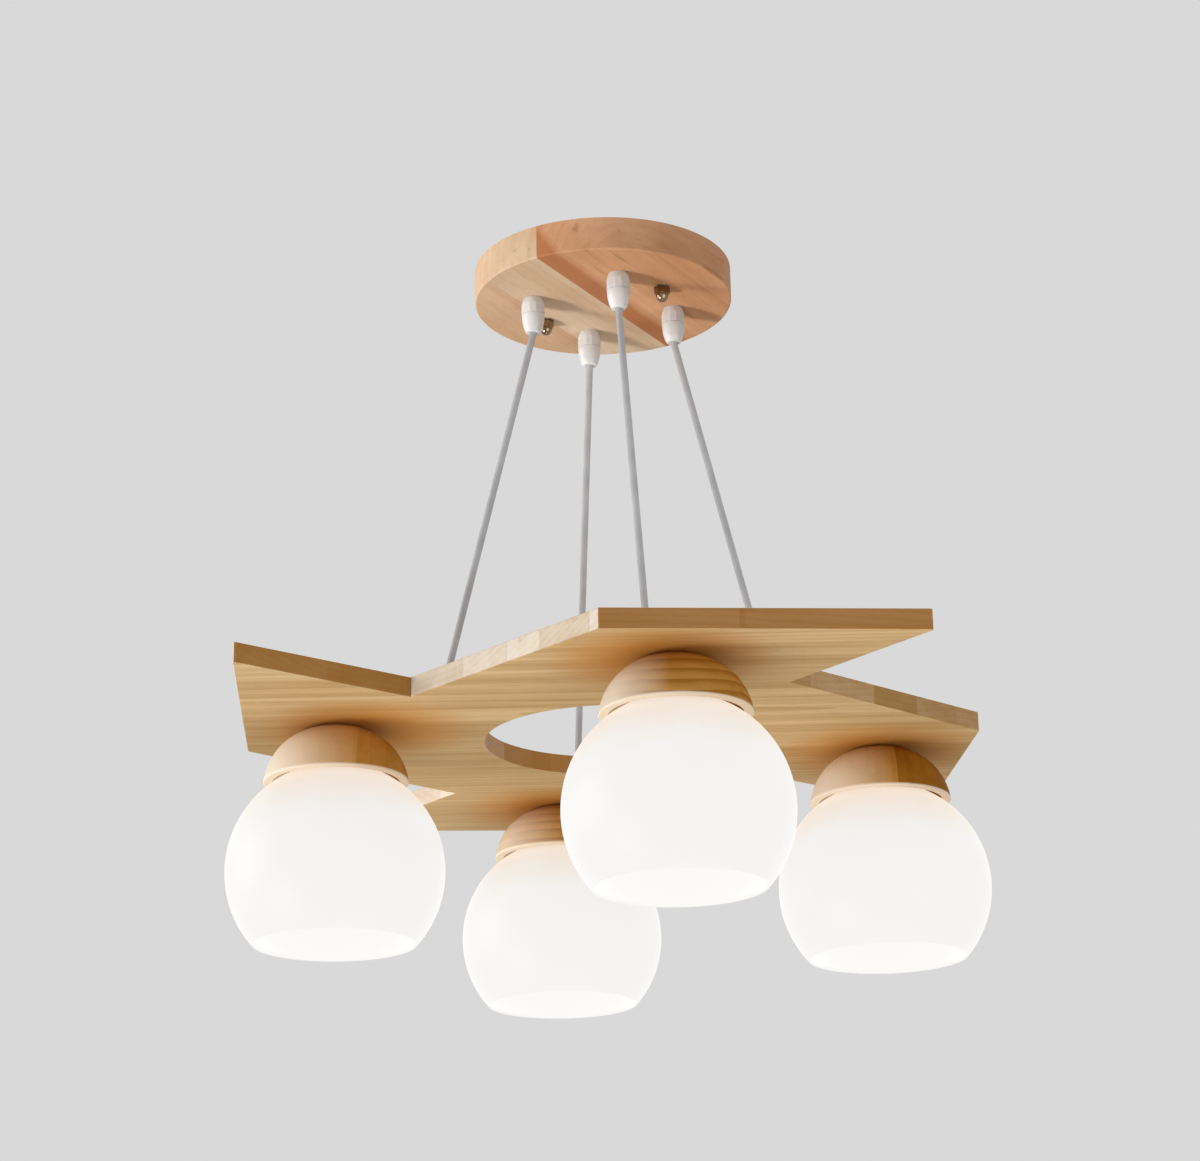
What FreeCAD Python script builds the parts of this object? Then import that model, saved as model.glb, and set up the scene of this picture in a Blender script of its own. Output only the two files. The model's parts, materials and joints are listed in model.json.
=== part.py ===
import FreeCAD, Part
import math
import os

# Four-lamp wooden pendant. A round wooden canopy is screwed to the ceiling and holds four cords.
# The cords carry a flat four-armed board, and under each arm hangs a turned wooden cup with a
# lampholder, an opal glass shade and a screw-in bulb.
# Millimetres, +Z up. The origin is the centre of the canopy's top rim, in the plane of the ceiling.
# Lamp 1 is the near one, and 2, 3 and 4 follow counter-clockwise seen from above.

# Layout seen from above
lamp_count = 4
lamp_turn_deg = 12.0
drop = 323.0
lamp_circle_radius = 195.0
grip_circle_radius = 53.0
cord_foot_inset = 72.0

# Canopy, a thick turned disc, hollowed from above
canopy_dia = 190.0
canopy_height = 25.0
canopy_floor = 9.0
canopy_wall = 16.0
canopy_edge_round = 1.2

# Ceiling bracket and the two studs that hold the canopy up to it
bracket_length = 124.0
bracket_width = 22.0
bracket_thickness = 1.5
ceiling_hole_spacing = 70.0
ceiling_hole_dia = 5.2
stud_dia = 5.0
stud_spacing = 103.0
stud_recess = 0.2
stud_reach = 8.0
lock_nut_flats = 8.0
lock_nut_height = 3.0
cap_nut_flats = 10.0
cap_nut_hex_height = 5.0
cap_nut_height = 11.0
cap_nut_roof = 2.0
cap_washer_dia = 12.0
cap_washer_thickness = 1.0

# Cord grips under the canopy
grip_dia = 17.5
grip_collar_height = 13.0
grip_cap_height = 14.5
grip_mouth_dia = 11.0
grip_stem_dia = 10.0
grip_stem_spare = 0.5
grip_nut_flats = 14.0
grip_nut_height = 3.5
grip_facets = 12
grip_facet_share = 0.955
grip_neck_share = 0.8
grip_bulge_share = 0.82
grip_bulge_height_share = 0.35
collet_wall = 1.8
collet_sink = 9.0
collet_reach = 9.0

# Cords and the two cores inside each
cord_dia = 5.0
core_dia = 2.0
core_gap = 0.4
core_rise = 2.0
core_bend_radius = 3.0

# Junction block inside the canopy
block_size = 40.0
block_height = 12.5
block_corner = 10.0
block_entry_depth = 8.0
block_screw_dia = 3.0
block_fixing_dia = 3.5
block_fixing_head = 6.5
block_fixing_bite = 6.0

# Four-armed board. Each arm has two outer corners and shares a notch with the next arm.
board_half_span = 258.0
board_thickness = 14.0
board_hole_inset = 33.0
board_corner_radius = 1.5
board_notch_radius = 0.8
board_edge_round = 0.6
arm_corner_shares = ((-0.03, -1.0), (0.79, -0.94), (0.457, -0.521))

# Cord bushes on top of the board, and the covered grooves from them to the lamps
bush_dia = 18.0
bush_height = 8.0
bush_neck_share = 0.7
bush_flange_share = 0.25
bush_stem_dia = 9.0
cover_width = 26.0
cover_thickness = 2.2
cover_inset = 14.0
cover_overhang = 13.0
groove_width = 8.0
groove_depth = 6.0
cover_screw_dia = 2.6
cover_screw_head = 5.6
cover_screw_length = 7.0
cover_screw_shares = (0.14, 0.52)

# Hollow threaded tubes that clamp cup and lampholder to the board
nipple_dia = 10.0
nipple_bore = 7.0
nipple_washer_dia = 19.0
nipple_washer_thickness = 0.8
nipple_nut_flats = 14.0
nipple_nut_height = 2.2
nipple_spare = 0.2
nipple_bite = 8.0

# Turned wooden cups
cup_height = 38.0
cup_top_dia = 32.0
cup_well_dia = 36.0
cup_ceiling = 7.0
cup_lip = 6.2
cup_glass_gap = 1.6
cup_bulge_share = 0.665
cup_lip_round = 1.0

# Opal glass shades: a blown ball with a flat crown and an open mouth
glass_dia = 150.0
glass_wall = 3.0
glass_mouth_dia = 111.0
glass_crown_dia = 60.0

# Lampholders, their screw shells and centre contacts
holder_top_dia = 28.0
holder_cap_dia = 42.0
holder_cap_height = 21.3
holder_cap_round = 9.0
shoulder_dia = 50.0
shoulder_height = 3.0
skirt_dia = 39.6
skirt_length = 28.7
chamber_dia = 24.0
chamber_roof = 9.0
socket_floor = 3.0
shell_dia = 27.6
shell_wall = 0.5
shell_length = 23.0
shell_mouth_setback = 2.0
contact_dia = 9.0
contact_plate = 1.4
contact_rivet_dia = 3.0
ring_flange_height = 3.0
ring_height = 9.0
ring_edge_gap = 0.9
ring_waist_dia = 48.0
ring_wall_gap = 0.35
ring_ribs = 24
ring_rib_dia = 2.4

# Screw-in bulbs
bulb_tip_dia = 8.0
bulb_tip_height = 2.5
bulb_cap_dia = 26.0
bulb_cap_length = 22.0
bulb_cap_wall = 1.0
bulb_thread_depth = 0.7
bulb_thread_count = 5
bulb_cone_dia = 18.0
bulb_cone_height = 4.0
bulb_dia = 55.0
bulb_length = 68.0
bulb_wall = 1.2
bulb_neck_gap = 0.5
bulb_ball_start_deg = 20.0
bulb_ball_middle_deg = -35.0
bulb_flare_sink = 0.3

# Fits
fit_gap = 0.05
clear_gap = 0.3
rest_gap = 0.2
overrun = 4.0
hexagon_sides = 6
round_middle_deg = 45.0

# Radii worked out from the sizes above: cord feet and the board's hole step in from the lamps
cord_foot_radius = lamp_circle_radius - cord_foot_inset
board_hole_radius = cord_foot_radius - board_hole_inset

# Heights worked out from the sizes above
canopy_bottom = -canopy_height
cavity_floor = canopy_bottom + canopy_floor
grip_joint = canopy_bottom - grip_collar_height
grip_mouth = grip_joint - grip_cap_height
board_top = canopy_bottom - drop
board_bottom = board_top - board_thickness
bush_top = board_top + bush_height
groove_floor = board_top - cover_thickness - groove_depth
cover_bottom = board_top - cover_thickness

# Heights of the lamp's pieces, on the lamp's own axis
cup_rim = board_bottom - cup_height
holder_top = board_bottom - cup_ceiling
shoulder_top = holder_top - holder_cap_height
shoulder_bottom = shoulder_top - shoulder_height
skirt_bottom = shoulder_bottom - skirt_length
glass_radius = glass_dia / 2
glass_inner_radius = glass_radius - glass_wall
crown_radius = glass_crown_dia / 2
crown_rise = math.sqrt(glass_radius ** 2 - crown_radius ** 2)
glass_centre = shoulder_bottom - crown_rise
crown_underside = shoulder_bottom - glass_wall
crown_inner_radius = math.sqrt(glass_inner_radius ** 2 - (crown_rise - glass_wall) ** 2)
mouth_radius = glass_mouth_dia / 2
mouth_fall = math.sqrt(glass_radius ** 2 - mouth_radius ** 2)
mouth_inner_radius = math.sqrt(glass_inner_radius ** 2 - mouth_fall ** 2)
glass_radius_at_rim = math.sqrt(max(glass_radius ** 2 - (cup_rim - glass_centre) ** 2, crown_radius ** 2))
cup_inner_radius = glass_radius_at_rim + cup_glass_gap
cup_radius = cup_inner_radius + cup_lip
chamber_top = holder_top - chamber_roof
socket_top = shoulder_bottom
chamber_floor = socket_top + socket_floor
contact_bottom = socket_top - contact_plate
bulb_tip_top = contact_bottom - clear_gap
bulb_cone_top = bulb_tip_top - bulb_tip_height
bulb_cap_top = bulb_cone_top - bulb_cone_height
bulb_cap_bottom = bulb_cap_top - bulb_cap_length
ring_dia = 2 * (crown_inner_radius - ring_edge_gap)

# Angles, and what the cords and their cores share
lamp_angle_step = 360.0 / lamp_count
first_lamp_angle = lamp_turn_deg - 90.0
stud_angle = first_lamp_angle + lamp_angle_step / 2
core_offset = (core_dia + core_gap) / 2
core_run_height = cavity_floor + block_height - core_rise - core_dia
core_turn_radius = core_dia + core_gap
collet_dia = cord_dia + 2 * collet_wall
tail_top = cavity_floor + grip_nut_height + 2 * grip_stem_spare
bush_flange_top = board_top + bush_height * bush_flange_share
bush_shoulder = bush_flange_top + bush_dia / 2 * (1 - bush_neck_share)
cover_start = cord_foot_radius + cover_inset + cover_width / 2
cover_end = lamp_circle_radius + cover_overhang - cover_width / 2
nipple_top = groove_floor + nipple_washer_thickness + nipple_nut_height + nipple_spare
lamp_numbers = range(lamp_count)


def lamp_angle(number):
    return first_lamp_angle + number * lamp_angle_step


def point(x, y, z=0.0):
    return FreeCAD.Vector(x, y, z)


axis_up = point(0, 0, 1)


def rod(dia, bottom, top, x=0.0, y=0.0):
    """An upright cylinder between two heights."""
    return Part.makeCylinder(dia / 2, top - bottom, point(x, y, bottom))


def tube(outer, inner, bottom, top, x=0.0, y=0.0):
    """An upright tube between two heights."""
    bore = rod(inner, bottom - overrun, top + overrun, x, y)
    return rod(outer, bottom, top, x, y).cut(bore)


def prism(sides, flats, bottom, top, x=0.0, y=0.0):
    """A regular upright prism, given its width across the flats."""
    corner_radius = flats / 2 / math.cos(math.pi / sides)
    corners = []
    for side in range(sides + 1):
        turn = 2 * math.pi * (side + 1 / 2) / sides
        corners.append(point(x + corner_radius * math.cos(turn), y + corner_radius * math.sin(turn), bottom))
    return Part.Face(Part.makePolygon(corners)).extrude(point(0, 0, top - bottom))


def edge_between(start, step):
    """A profile step is a straight run to (r, z), or an arc to its end through a middle point."""
    begin = point(start[0], 0, start[1])
    end = point(step[-1][0], 0, step[-1][1])
    if len(step) == 1:
        return Part.LineSegment(begin, end).toShape()
    middle = point(step[0][0], 0, step[0][1])
    return Part.Arc(begin, middle, end).toShape()


def turned(start, *steps):
    """A solid of revolution about the upright axis, from a closed profile in (radius, height)."""
    edges = []
    here = start
    for step in steps + ((start,),):
        edges.append(edge_between(here, step))
        here = step[-1]
    face = Part.Face(Part.Wire(edges))
    return face.revolve(point(0, 0, 0), axis_up, 360)


def arc_point(centre, radius, degrees):
    """A point on an arc of a profile."""
    turn = math.radians(degrees)
    return (centre[0] + radius * math.cos(turn), centre[1] + radius * math.sin(turn))


def placed(shape, radius, degrees):
    """A copy moved out along +X by a radius and then turned about the object's axis."""
    copy = shape.copy()
    copy.translate(point(radius, 0, 0))
    copy.rotate(point(0, 0, 0), axis_up, degrees)
    return copy


def around(shape, radius):
    """One copy for each lamp."""
    return [placed(shape, radius, lamp_angle(number)) for number in lamp_numbers]


def rounded_route(points, bends):
    """Straight runs joined by tangent arcs, as one wire."""
    edges = []
    here = points[0]
    for index in range(1, len(points) - 1):
        corner = points[index]
        back = (points[index - 1] - corner).normalize()
        ahead = (points[index + 1] - corner).normalize()
        half_turn = (math.pi - back.getAngle(ahead)) / 2
        reach = bends[index - 1] * math.tan(half_turn)
        arc_start = corner + back * reach
        arc_end = corner + ahead * reach
        middle_way = (back + ahead).normalize()
        depth = bends[index - 1] / math.cos(half_turn) - bends[index - 1]
        edges.append(Part.LineSegment(here, arc_start).toShape())
        edges.append(Part.Arc(arc_start, corner + middle_way * depth, arc_end).toShape())
        here = arc_end
    edges.append(Part.LineSegment(here, points[-1]).toShape())
    return Part.Wire(edges)


def routed_core(points, bends):
    """A round wire that follows a rounded route."""
    path = rounded_route(points, bends)
    heading = points[1] - points[0]
    section = Part.Wire([Part.Circle(points[0], heading, core_dia / 2).toShape()])
    return path.makePipeShell([section], True, False)


def write(name, *shapes):
    """One STEP file for a node, whose solids stay apart."""
    shape = shapes[0] if len(shapes) == 1 else Part.makeCompound(list(shapes))
    if not shape.isValid():
        print("not valid:", name)
    shape.exportStep("parts/" + name + ".step")
    print(name, len(shape.Solids), "solids", round(shape.Volume), "mm3")


def rounded_outline(corners, radii, height):
    """A closed flat outline whose corners, inward ones too, each have their own radius."""
    edges = []
    count = len(corners)
    ends = []
    for index in range(count):
        corner = corners[index]
        radius = radii[index]
        back = (corners[index - 1] - corner).normalize()
        ahead = (corners[(index + 1) % count] - corner).normalize()
        half_turn = (math.pi - back.getAngle(ahead)) / 2
        reach = radius * math.tan(half_turn)
        depth = radius / math.cos(half_turn) - radius
        middle = corner + (back + ahead).normalize() * depth
        ends.append((corner + back * reach, middle, corner + ahead * reach))
    for index in range(count):
        start, middle, end = ends[index]
        edges.append(Part.Arc(start, middle, end).toShape())
        edges.append(Part.LineSegment(end, ends[(index + 1) % count][0]).toShape())
    wire = Part.Wire(edges)
    wire.translate(point(0, 0, height))
    return wire


def board_corners():
    """The outline's corners, arm by arm."""
    corners = []
    for number in lamp_numbers:
        turn = math.radians(number * lamp_angle_step)
        for across, out in arm_corner_shares:
            x = across * board_half_span
            y = out * board_half_span
            corners.append(point(x * math.cos(turn) - y * math.sin(turn),
                                 x * math.sin(turn) + y * math.cos(turn)))
    return corners


def slot_plate(start, end, width, bottom, top):
    """A flat strip along +X with round ends."""
    bar = Part.makeBox(end - start, width, top - bottom, point(start, -width / 2, bottom))
    return bar.fuse([rod(width, bottom, top, start), rod(width, bottom, top, end)]).removeSplitter()


def canopy_disc():
    outer = canopy_dia / 2
    inner = outer - canopy_wall
    disc = turned((0, cavity_floor), ((inner, cavity_floor),), ((inner, 0),), ((outer, 0),),
                  ((outer, canopy_bottom + canopy_edge_round),),
                  (arc_point((outer - canopy_edge_round, canopy_bottom + canopy_edge_round),
                             canopy_edge_round, -round_middle_deg),
                   (outer - canopy_edge_round, canopy_bottom)),
                  ((0, canopy_bottom),))
    bottom = canopy_bottom - overrun
    top = cavity_floor + overrun
    holes = around(rod(grip_stem_dia + 2 * clear_gap, bottom, top), grip_circle_radius)
    for side in (0, 180):
        holes.append(placed(rod(stud_dia + 2 * clear_gap, bottom, top), stud_spacing / 2, stud_angle + side))
    pilot_bottom = cavity_floor - block_fixing_bite - rest_gap
    holes.append(rod(block_fixing_dia, pilot_bottom, cavity_floor + overrun))
    return disc.cut(holes)


def ceiling_bracket():
    plate = slot_plate(-(bracket_length - bracket_width) / 2, (bracket_length - bracket_width) / 2,
                       bracket_width, -bracket_thickness, 0)
    holes = []
    for side in (1, -1):
        holes.append(rod(ceiling_hole_dia, -bracket_thickness - overrun, overrun,
                         side * ceiling_hole_spacing / 2))
        holes.append(rod(stud_dia + 2 * fit_gap, -bracket_thickness - overrun, overrun,
                         side * stud_spacing / 2))
    return placed(plate.cut(holes), 0, stud_angle)


def at_studs(shape):
    return [placed(shape, stud_spacing / 2, stud_angle + side) for side in (0, 180)]


def cap_nut():
    """A hexagon base with a domed cap over a blind hole."""
    top = canopy_bottom - cap_washer_thickness
    hex_bottom = top - cap_nut_hex_height
    dome_radius = cap_nut_flats / 2
    dome_height = cap_nut_height - cap_nut_hex_height
    hexagon = prism(hexagon_sides, cap_nut_flats, hex_bottom, top)
    slant = math.radians(round_middle_deg)
    dome = turned((0, top), ((dome_radius, top),), ((dome_radius, hex_bottom),),
                  ((dome_radius * math.cos(slant), hex_bottom - dome_height * math.sin(slant)),
                   (0, hex_bottom - dome_height)))
    bore = rod(stud_dia + 2 * fit_gap, top - cap_nut_height + cap_nut_roof, top + overrun)
    return hexagon.fuse(dome).cut(bore)


def junction_block():
    bottom = cavity_floor
    top = cavity_floor + block_height
    half = block_size / 2
    body = Part.makeBox(block_size, block_size, block_height, point(-half, -half, bottom))
    corner_cut = prism(4, (block_size - block_corner) * math.sqrt(2), bottom - overrun, top + overrun)
    corner_cut.rotate(point(0, 0, 0), axis_up, lamp_angle_step / 2)
    body = body.common(corner_cut)
    cuts = [rod(block_fixing_dia + 2 * clear_gap, bottom - overrun, top + overrun)]
    cuts.append(rod(block_fixing_head + 2 * clear_gap, bottom + block_height / 2, top + overrun))
    entry_dia = core_dia + 2 * fit_gap
    for number in lamp_numbers:
        for side in (1, -1):
            entry = Part.makeCylinder(entry_dia / 2, block_entry_depth + overrun,
                                      point(half - block_entry_depth, side * core_offset, core_run_height),
                                      point(1, 0, 0))
            well = rod(block_screw_dia + 2 * fit_gap, core_run_height + core_dia / 2, top + overrun,
                       half - block_entry_depth / 2, side * (core_offset + block_screw_dia / 4))
            for cut in (entry, well):
                cut.rotate(point(0, 0, 0), axis_up, number * lamp_angle_step)
                cuts.append(cut)
    return placed(body.cut(cuts), 0, first_lamp_angle)


def junction_screws():
    """One clamp screw over each core, and the wood screw in the middle."""
    top = cavity_floor + block_height
    screws = []
    for number in lamp_numbers:
        for side in (1, -1):
            screw = rod(block_screw_dia, core_run_height + core_dia / 2 + rest_gap, top,
                        block_size / 2 - block_entry_depth / 2, side * (core_offset + block_screw_dia / 4))
            screws.append(placed(screw, 0, lamp_angle(number)))
    seat = cavity_floor + block_height / 2
    shank = rod(block_fixing_dia - 2 * fit_gap, cavity_floor - block_fixing_bite, seat)
    head = rod(block_fixing_head, seat, seat + block_fixing_dia)
    screws.append(shank.fuse(head))
    return screws


def grip_body():
    """The threaded stem through the canopy and the faceted collar below it."""
    radius = grip_dia / 2
    stem = grip_stem_dia / 2
    stem_top = cavity_floor + grip_nut_height + grip_stem_spare
    barrel = turned((0, stem_top), ((0, grip_joint),), ((radius, grip_joint),),
                    ((radius, grip_joint + grip_collar_height / 2),
                     (radius * grip_neck_share, canopy_bottom)),
                    ((stem, canopy_bottom),), ((stem, stem_top),))
    facets = prism(grip_facets, grip_dia * grip_facet_share, grip_joint, canopy_bottom)
    facets = facets.fuse(rod(grip_stem_dia, canopy_bottom, stem_top))
    bore = rod(cord_dia + 2 * clear_gap, grip_joint - overrun, stem_top + overrun)
    pocket = rod(collet_dia + 2 * rest_gap, grip_joint - overrun, grip_joint + collet_sink)
    return barrel.common(facets).cut([bore, pocket])


def grip_collet():
    """The split sleeve that closes on the cord when the cap is screwed up."""
    bottom = grip_joint - collet_reach
    top = grip_joint + collet_sink - rest_gap
    sleeve = tube(collet_dia, cord_dia + 2 * fit_gap, bottom, top)
    split = Part.makeBox(collet_dia, core_gap, collet_reach + overrun,
                         point(0, -core_gap / 2, bottom - overrun))
    return sleeve.cut(split)


def grip_cap():
    """The tapered cap that is turned by hand to close the grip."""
    radius = grip_dia / 2
    mouth = grip_mouth_dia / 2
    shell = turned((0, grip_joint), ((0, grip_mouth),), ((mouth, grip_mouth),),
                   ((radius * grip_bulge_share, grip_mouth + grip_cap_height * grip_bulge_height_share),
                    (radius * grip_facet_share, grip_joint)))
    pocket = rod(collet_dia + 2 * rest_gap, grip_joint - collet_reach - rest_gap, grip_joint + overrun)
    bore = rod(cord_dia + 2 * clear_gap, grip_mouth - overrun, grip_joint + overrun)
    return shell.cut([pocket, bore])


def grip_nut():
    bottom = cavity_floor
    top = cavity_floor + grip_nut_height
    return prism(hexagon_sides, grip_nut_flats, bottom, top).cut(
        rod(grip_stem_dia + 2 * fit_gap, bottom - overrun, top + overrun))


def cord_tail():
    """The end of a cord's sheath inside its grip."""
    return rod(cord_dia, grip_mouth, tail_top)


def canopy_cores(side):
    """A core leaves the sheath, turns inwards and enters its side of the junction block."""
    reach = grip_circle_radius - (block_size / 2 - block_entry_depth / 2)
    route = [point(0, side * core_offset, tail_top),
             point(0, side * core_offset, core_run_height),
             point(-reach, side * core_offset, core_run_height)]
    return routed_core(route, [core_bend_radius])


def cord(number):
    """The straight, loaded stretch of a cord, cut level at the grip's mouth and at the bush."""
    turn = math.radians(lamp_angle(number))
    head = point(grip_circle_radius * math.cos(turn), grip_circle_radius * math.sin(turn), grip_mouth)
    foot = point(cord_foot_radius * math.cos(turn), cord_foot_radius * math.sin(turn), bush_top)
    along = (foot - head).normalize()
    length = (foot - head).Length
    whole = Part.makeCylinder(cord_dia / 2, length + 2 * cord_dia, head - along * cord_dia, along)
    room = canopy_dia + board_half_span
    slab = Part.makeBox(2 * room, 2 * room, grip_mouth - bush_top, point(-room, -room, bush_top))
    run = whole.common(slab)
    print("cord", number + 1, "length", round(length, 1),
          "volume over section times length", round(run.Volume / (math.pi * cord_dia ** 2 / 4 * length), 4))
    return run


def board():
    radii = [board_corner_radius, board_corner_radius, board_notch_radius] * lamp_count
    outline = rounded_outline(board_corners(), radii, board_bottom)
    slab = Part.Face(outline).extrude(point(0, 0, board_thickness))
    slab = slab.cut(rod(2 * board_hole_radius, board_bottom - overrun, board_top + overrun))
    rims = []
    for edge in slab.Edges:
        level = edge.BoundBox.ZMax - edge.BoundBox.ZMin < fit_gap
        if level:
            rims.append(edge)
    slab = slab.makeFillet(board_edge_round, rims)
    cuts = []
    groove = slot_plate(cord_foot_radius, lamp_circle_radius, groove_width, groove_floor, board_top)
    cuts += around(groove, 0)
    recess = slot_plate(cover_start, cover_end, cover_width + 2 * rest_gap, cover_bottom,
                        board_top + overrun)
    cuts += around(recess, 0)
    well = rod(nipple_washer_dia + 2 * clear_gap, groove_floor, board_top)
    cuts += around(well, lamp_circle_radius)
    hole = rod(nipple_dia + 2 * fit_gap, board_bottom - overrun, board_top)
    cuts += around(hole, lamp_circle_radius)
    socket = rod(bush_stem_dia + 2 * fit_gap, groove_floor, board_top + overrun)
    cuts += around(socket, cord_foot_radius)
    for spot, side in cover_screw_spots():
        pilot = rod(cover_screw_dia + 2 * fit_gap, board_top - cover_screw_length - rest_gap, board_top,
                    spot, side)
        cuts += around(pilot, 0)
    return slab.cut(cuts)


def cover_screw_spots():
    """The two screws of a groove cover stand on opposite ledges beside the groove."""
    ledge = (groove_width + cover_width) / 4
    spots = []
    for share, side in zip(cover_screw_shares, (1, -1)):
        spots.append((cover_start + share * (cover_end - cover_start), side * ledge))
    return spots


def groove_cover():
    plate = slot_plate(cover_start, cover_end, cover_width, cover_bottom, board_top)
    cuts = []
    for spot, side in cover_screw_spots():
        cuts.append(rod(cover_screw_dia + 2 * fit_gap, cover_bottom - overrun, board_top + overrun,
                        spot, side))
        cuts.append(screw_cone(cover_screw_head + 2 * fit_gap, spot, side))
    return plate.cut(cuts)


def screw_cone(head, spot, side):
    """The countersunk part of a wood screw, level with the top of the board."""
    height = (head - cover_screw_dia) / 2
    return Part.makeCone(cover_screw_dia / 2, head / 2, height, point(spot, side, board_top - height))


def cover_screws():
    screws = []
    for spot, side in cover_screw_spots():
        shank = rod(cover_screw_dia, board_top - cover_screw_length, board_top - fit_gap, spot, side)
        cone = screw_cone(cover_screw_head, spot, side)
        screws += around(shank.fuse(cone), 0)
    return screws


def board_bush():
    """A low bush on the board that grips the end of the sheath."""
    radius = bush_dia / 2
    stem = bush_stem_dia / 2
    body = turned((0, cover_bottom), ((stem, cover_bottom),), ((stem, board_top),), ((radius, board_top),),
                  ((radius, bush_flange_top),),
                  (arc_point((radius * bush_neck_share, bush_flange_top),
                             radius * (1 - bush_neck_share), round_middle_deg),
                   (radius * bush_neck_share, bush_shoulder)),
                  ((radius * bush_neck_share, bush_top),), ((0, bush_top),))
    return body.cut(rod(cord_dia + 2 * fit_gap, cover_bottom - overrun, bush_top + overrun))


def sheath_end():
    """The end of a cord's sheath inside its bush."""
    return rod(cord_dia, board_top, bush_top)


def board_cores(side):
    """A core leaves the sheath, runs along the groove and drops through the nipple."""
    reach = lamp_circle_radius - cord_foot_radius
    run_height = cover_bottom - core_gap - core_dia / 2
    route = [point(0, side * core_offset, board_top),
             point(0, side * core_offset, run_height),
             point(reach, side * core_offset, run_height),
             point(reach, side * core_offset, chamber_floor)]
    return routed_core(route, [core_turn_radius, core_turn_radius])


def nipple():
    return tube(nipple_dia, nipple_bore, holder_top - nipple_bite, nipple_top)


def nipple_washer():
    bottom = groove_floor
    return tube(nipple_washer_dia, nipple_dia + 2 * fit_gap, bottom, bottom + nipple_washer_thickness)


def nipple_nut():
    bottom = groove_floor + nipple_washer_thickness
    top = bottom + nipple_nut_height
    return prism(hexagon_sides, nipple_nut_flats, bottom, top).cut(
        rod(nipple_dia + 2 * fit_gap, bottom - overrun, top + overrun))


def wood_cup():
    """A turned dome, thin at its lip and thick where the lampholder clamps it."""
    top_radius = cup_top_dia / 2
    well_radius = cup_well_dia / 2
    bulge = cup_bulge_share
    outer_middle = (top_radius + (cup_radius - top_radius) * bulge, cup_rim + cup_height * bulge)
    inner_middle = (well_radius + (cup_inner_radius - well_radius) * bulge,
                    cup_rim + (cup_height - cup_ceiling) * bulge)
    lip = cup_lip_round
    bore = nipple_dia / 2 + fit_gap
    return turned((bore, board_bottom), ((bore, holder_top),), ((well_radius, holder_top),),
                  (inner_middle, (cup_inner_radius, cup_rim + lip)),
                  (arc_point((cup_inner_radius + lip, cup_rim + lip), lip, 180 + round_middle_deg),
                   (cup_inner_radius + lip, cup_rim)),
                  ((cup_radius - lip, cup_rim),),
                  (arc_point((cup_radius - lip, cup_rim + lip), lip, -round_middle_deg),
                   (cup_radius, cup_rim + lip)),
                  (outer_middle, (top_radius, board_bottom)))


def lampholder():
    """The holder's domed cap, the shoulder that the glass hangs from, and the skirt with the socket."""
    top_radius = holder_top_dia / 2
    cap_radius = holder_cap_dia / 2
    shoulder_radius = shoulder_dia / 2
    skirt = skirt_dia / 2
    slant = math.radians(round_middle_deg)
    body = turned((0, holder_top), ((0, skirt_bottom),), ((skirt, skirt_bottom),),
                  ((skirt, shoulder_bottom),),
                  ((shoulder_radius, shoulder_bottom),), ((shoulder_radius, shoulder_top),),
                  ((cap_radius, shoulder_top),), ((cap_radius, holder_top - holder_cap_round),),
                  ((top_radius + (cap_radius - top_radius) * math.sin(slant),
                    holder_top - holder_cap_round * (1 - math.cos(slant))),
                   (top_radius, holder_top)))
    nipple_hole = rod(nipple_dia + 2 * fit_gap, holder_top - nipple_bite - rest_gap, holder_top + overrun)
    core_way = rod(nipple_bore, chamber_top - overrun, holder_top - nipple_bite)
    chamber = rod(chamber_dia, chamber_floor, chamber_top)
    socket = rod(shell_dia + 2 * clear_gap, skirt_bottom - overrun, socket_top)
    rivet_hole = rod(contact_rivet_dia + 2 * fit_gap, socket_top - overrun, chamber_floor + overrun)
    return body.cut([nipple_hole, core_way, chamber, socket, rivet_hole])


def screw_shell():
    """The brass sleeve that the bulb screws into."""
    bottom = skirt_bottom + shell_mouth_setback
    return tube(shell_dia, shell_dia - 2 * shell_wall, bottom, bottom + shell_length)


def centre_contact():
    plate = rod(contact_dia, contact_bottom, socket_top)
    rivet = rod(contact_rivet_dia, contact_bottom, chamber_floor)
    return plate.fuse(rivet)


def shade_ring():
    """A ribbed nut on the holder's skirt that holds the glass up against the shoulder."""
    top = crown_underside
    flange_bottom = top - ring_flange_height
    bottom = top - ring_height
    flange = rod(ring_dia, flange_bottom, top)
    waist = rod(ring_waist_dia, bottom, flange_bottom)
    ribs = []
    for rib in range(ring_ribs):
        piece = rod(ring_rib_dia, bottom, flange_bottom, ring_waist_dia / 2)
        piece.rotate(point(0, 0, 0), axis_up, 360 * rib / ring_ribs)
        ribs.append(piece)
    bore = rod(skirt_dia + 2 * ring_wall_gap, bottom - overrun, top + overrun)
    return flange.fuse([waist] + ribs).cut(bore).removeSplitter()


def glass_shade():
    neck = (skirt_dia / 2 + ring_wall_gap) + clear_gap
    rise = glass_centre + crown_rise
    mouth = glass_centre - mouth_fall
    return turned((neck, rise), ((crown_radius, rise),),
                  ((glass_radius, glass_centre), (mouth_radius, mouth)),
                  ((mouth_inner_radius, mouth),),
                  ((glass_inner_radius, glass_centre), (crown_inner_radius, crown_underside)),
                  ((neck, crown_underside),))


def bulb_contact():
    return rod(bulb_tip_dia, bulb_cone_top, bulb_tip_top)


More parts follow.
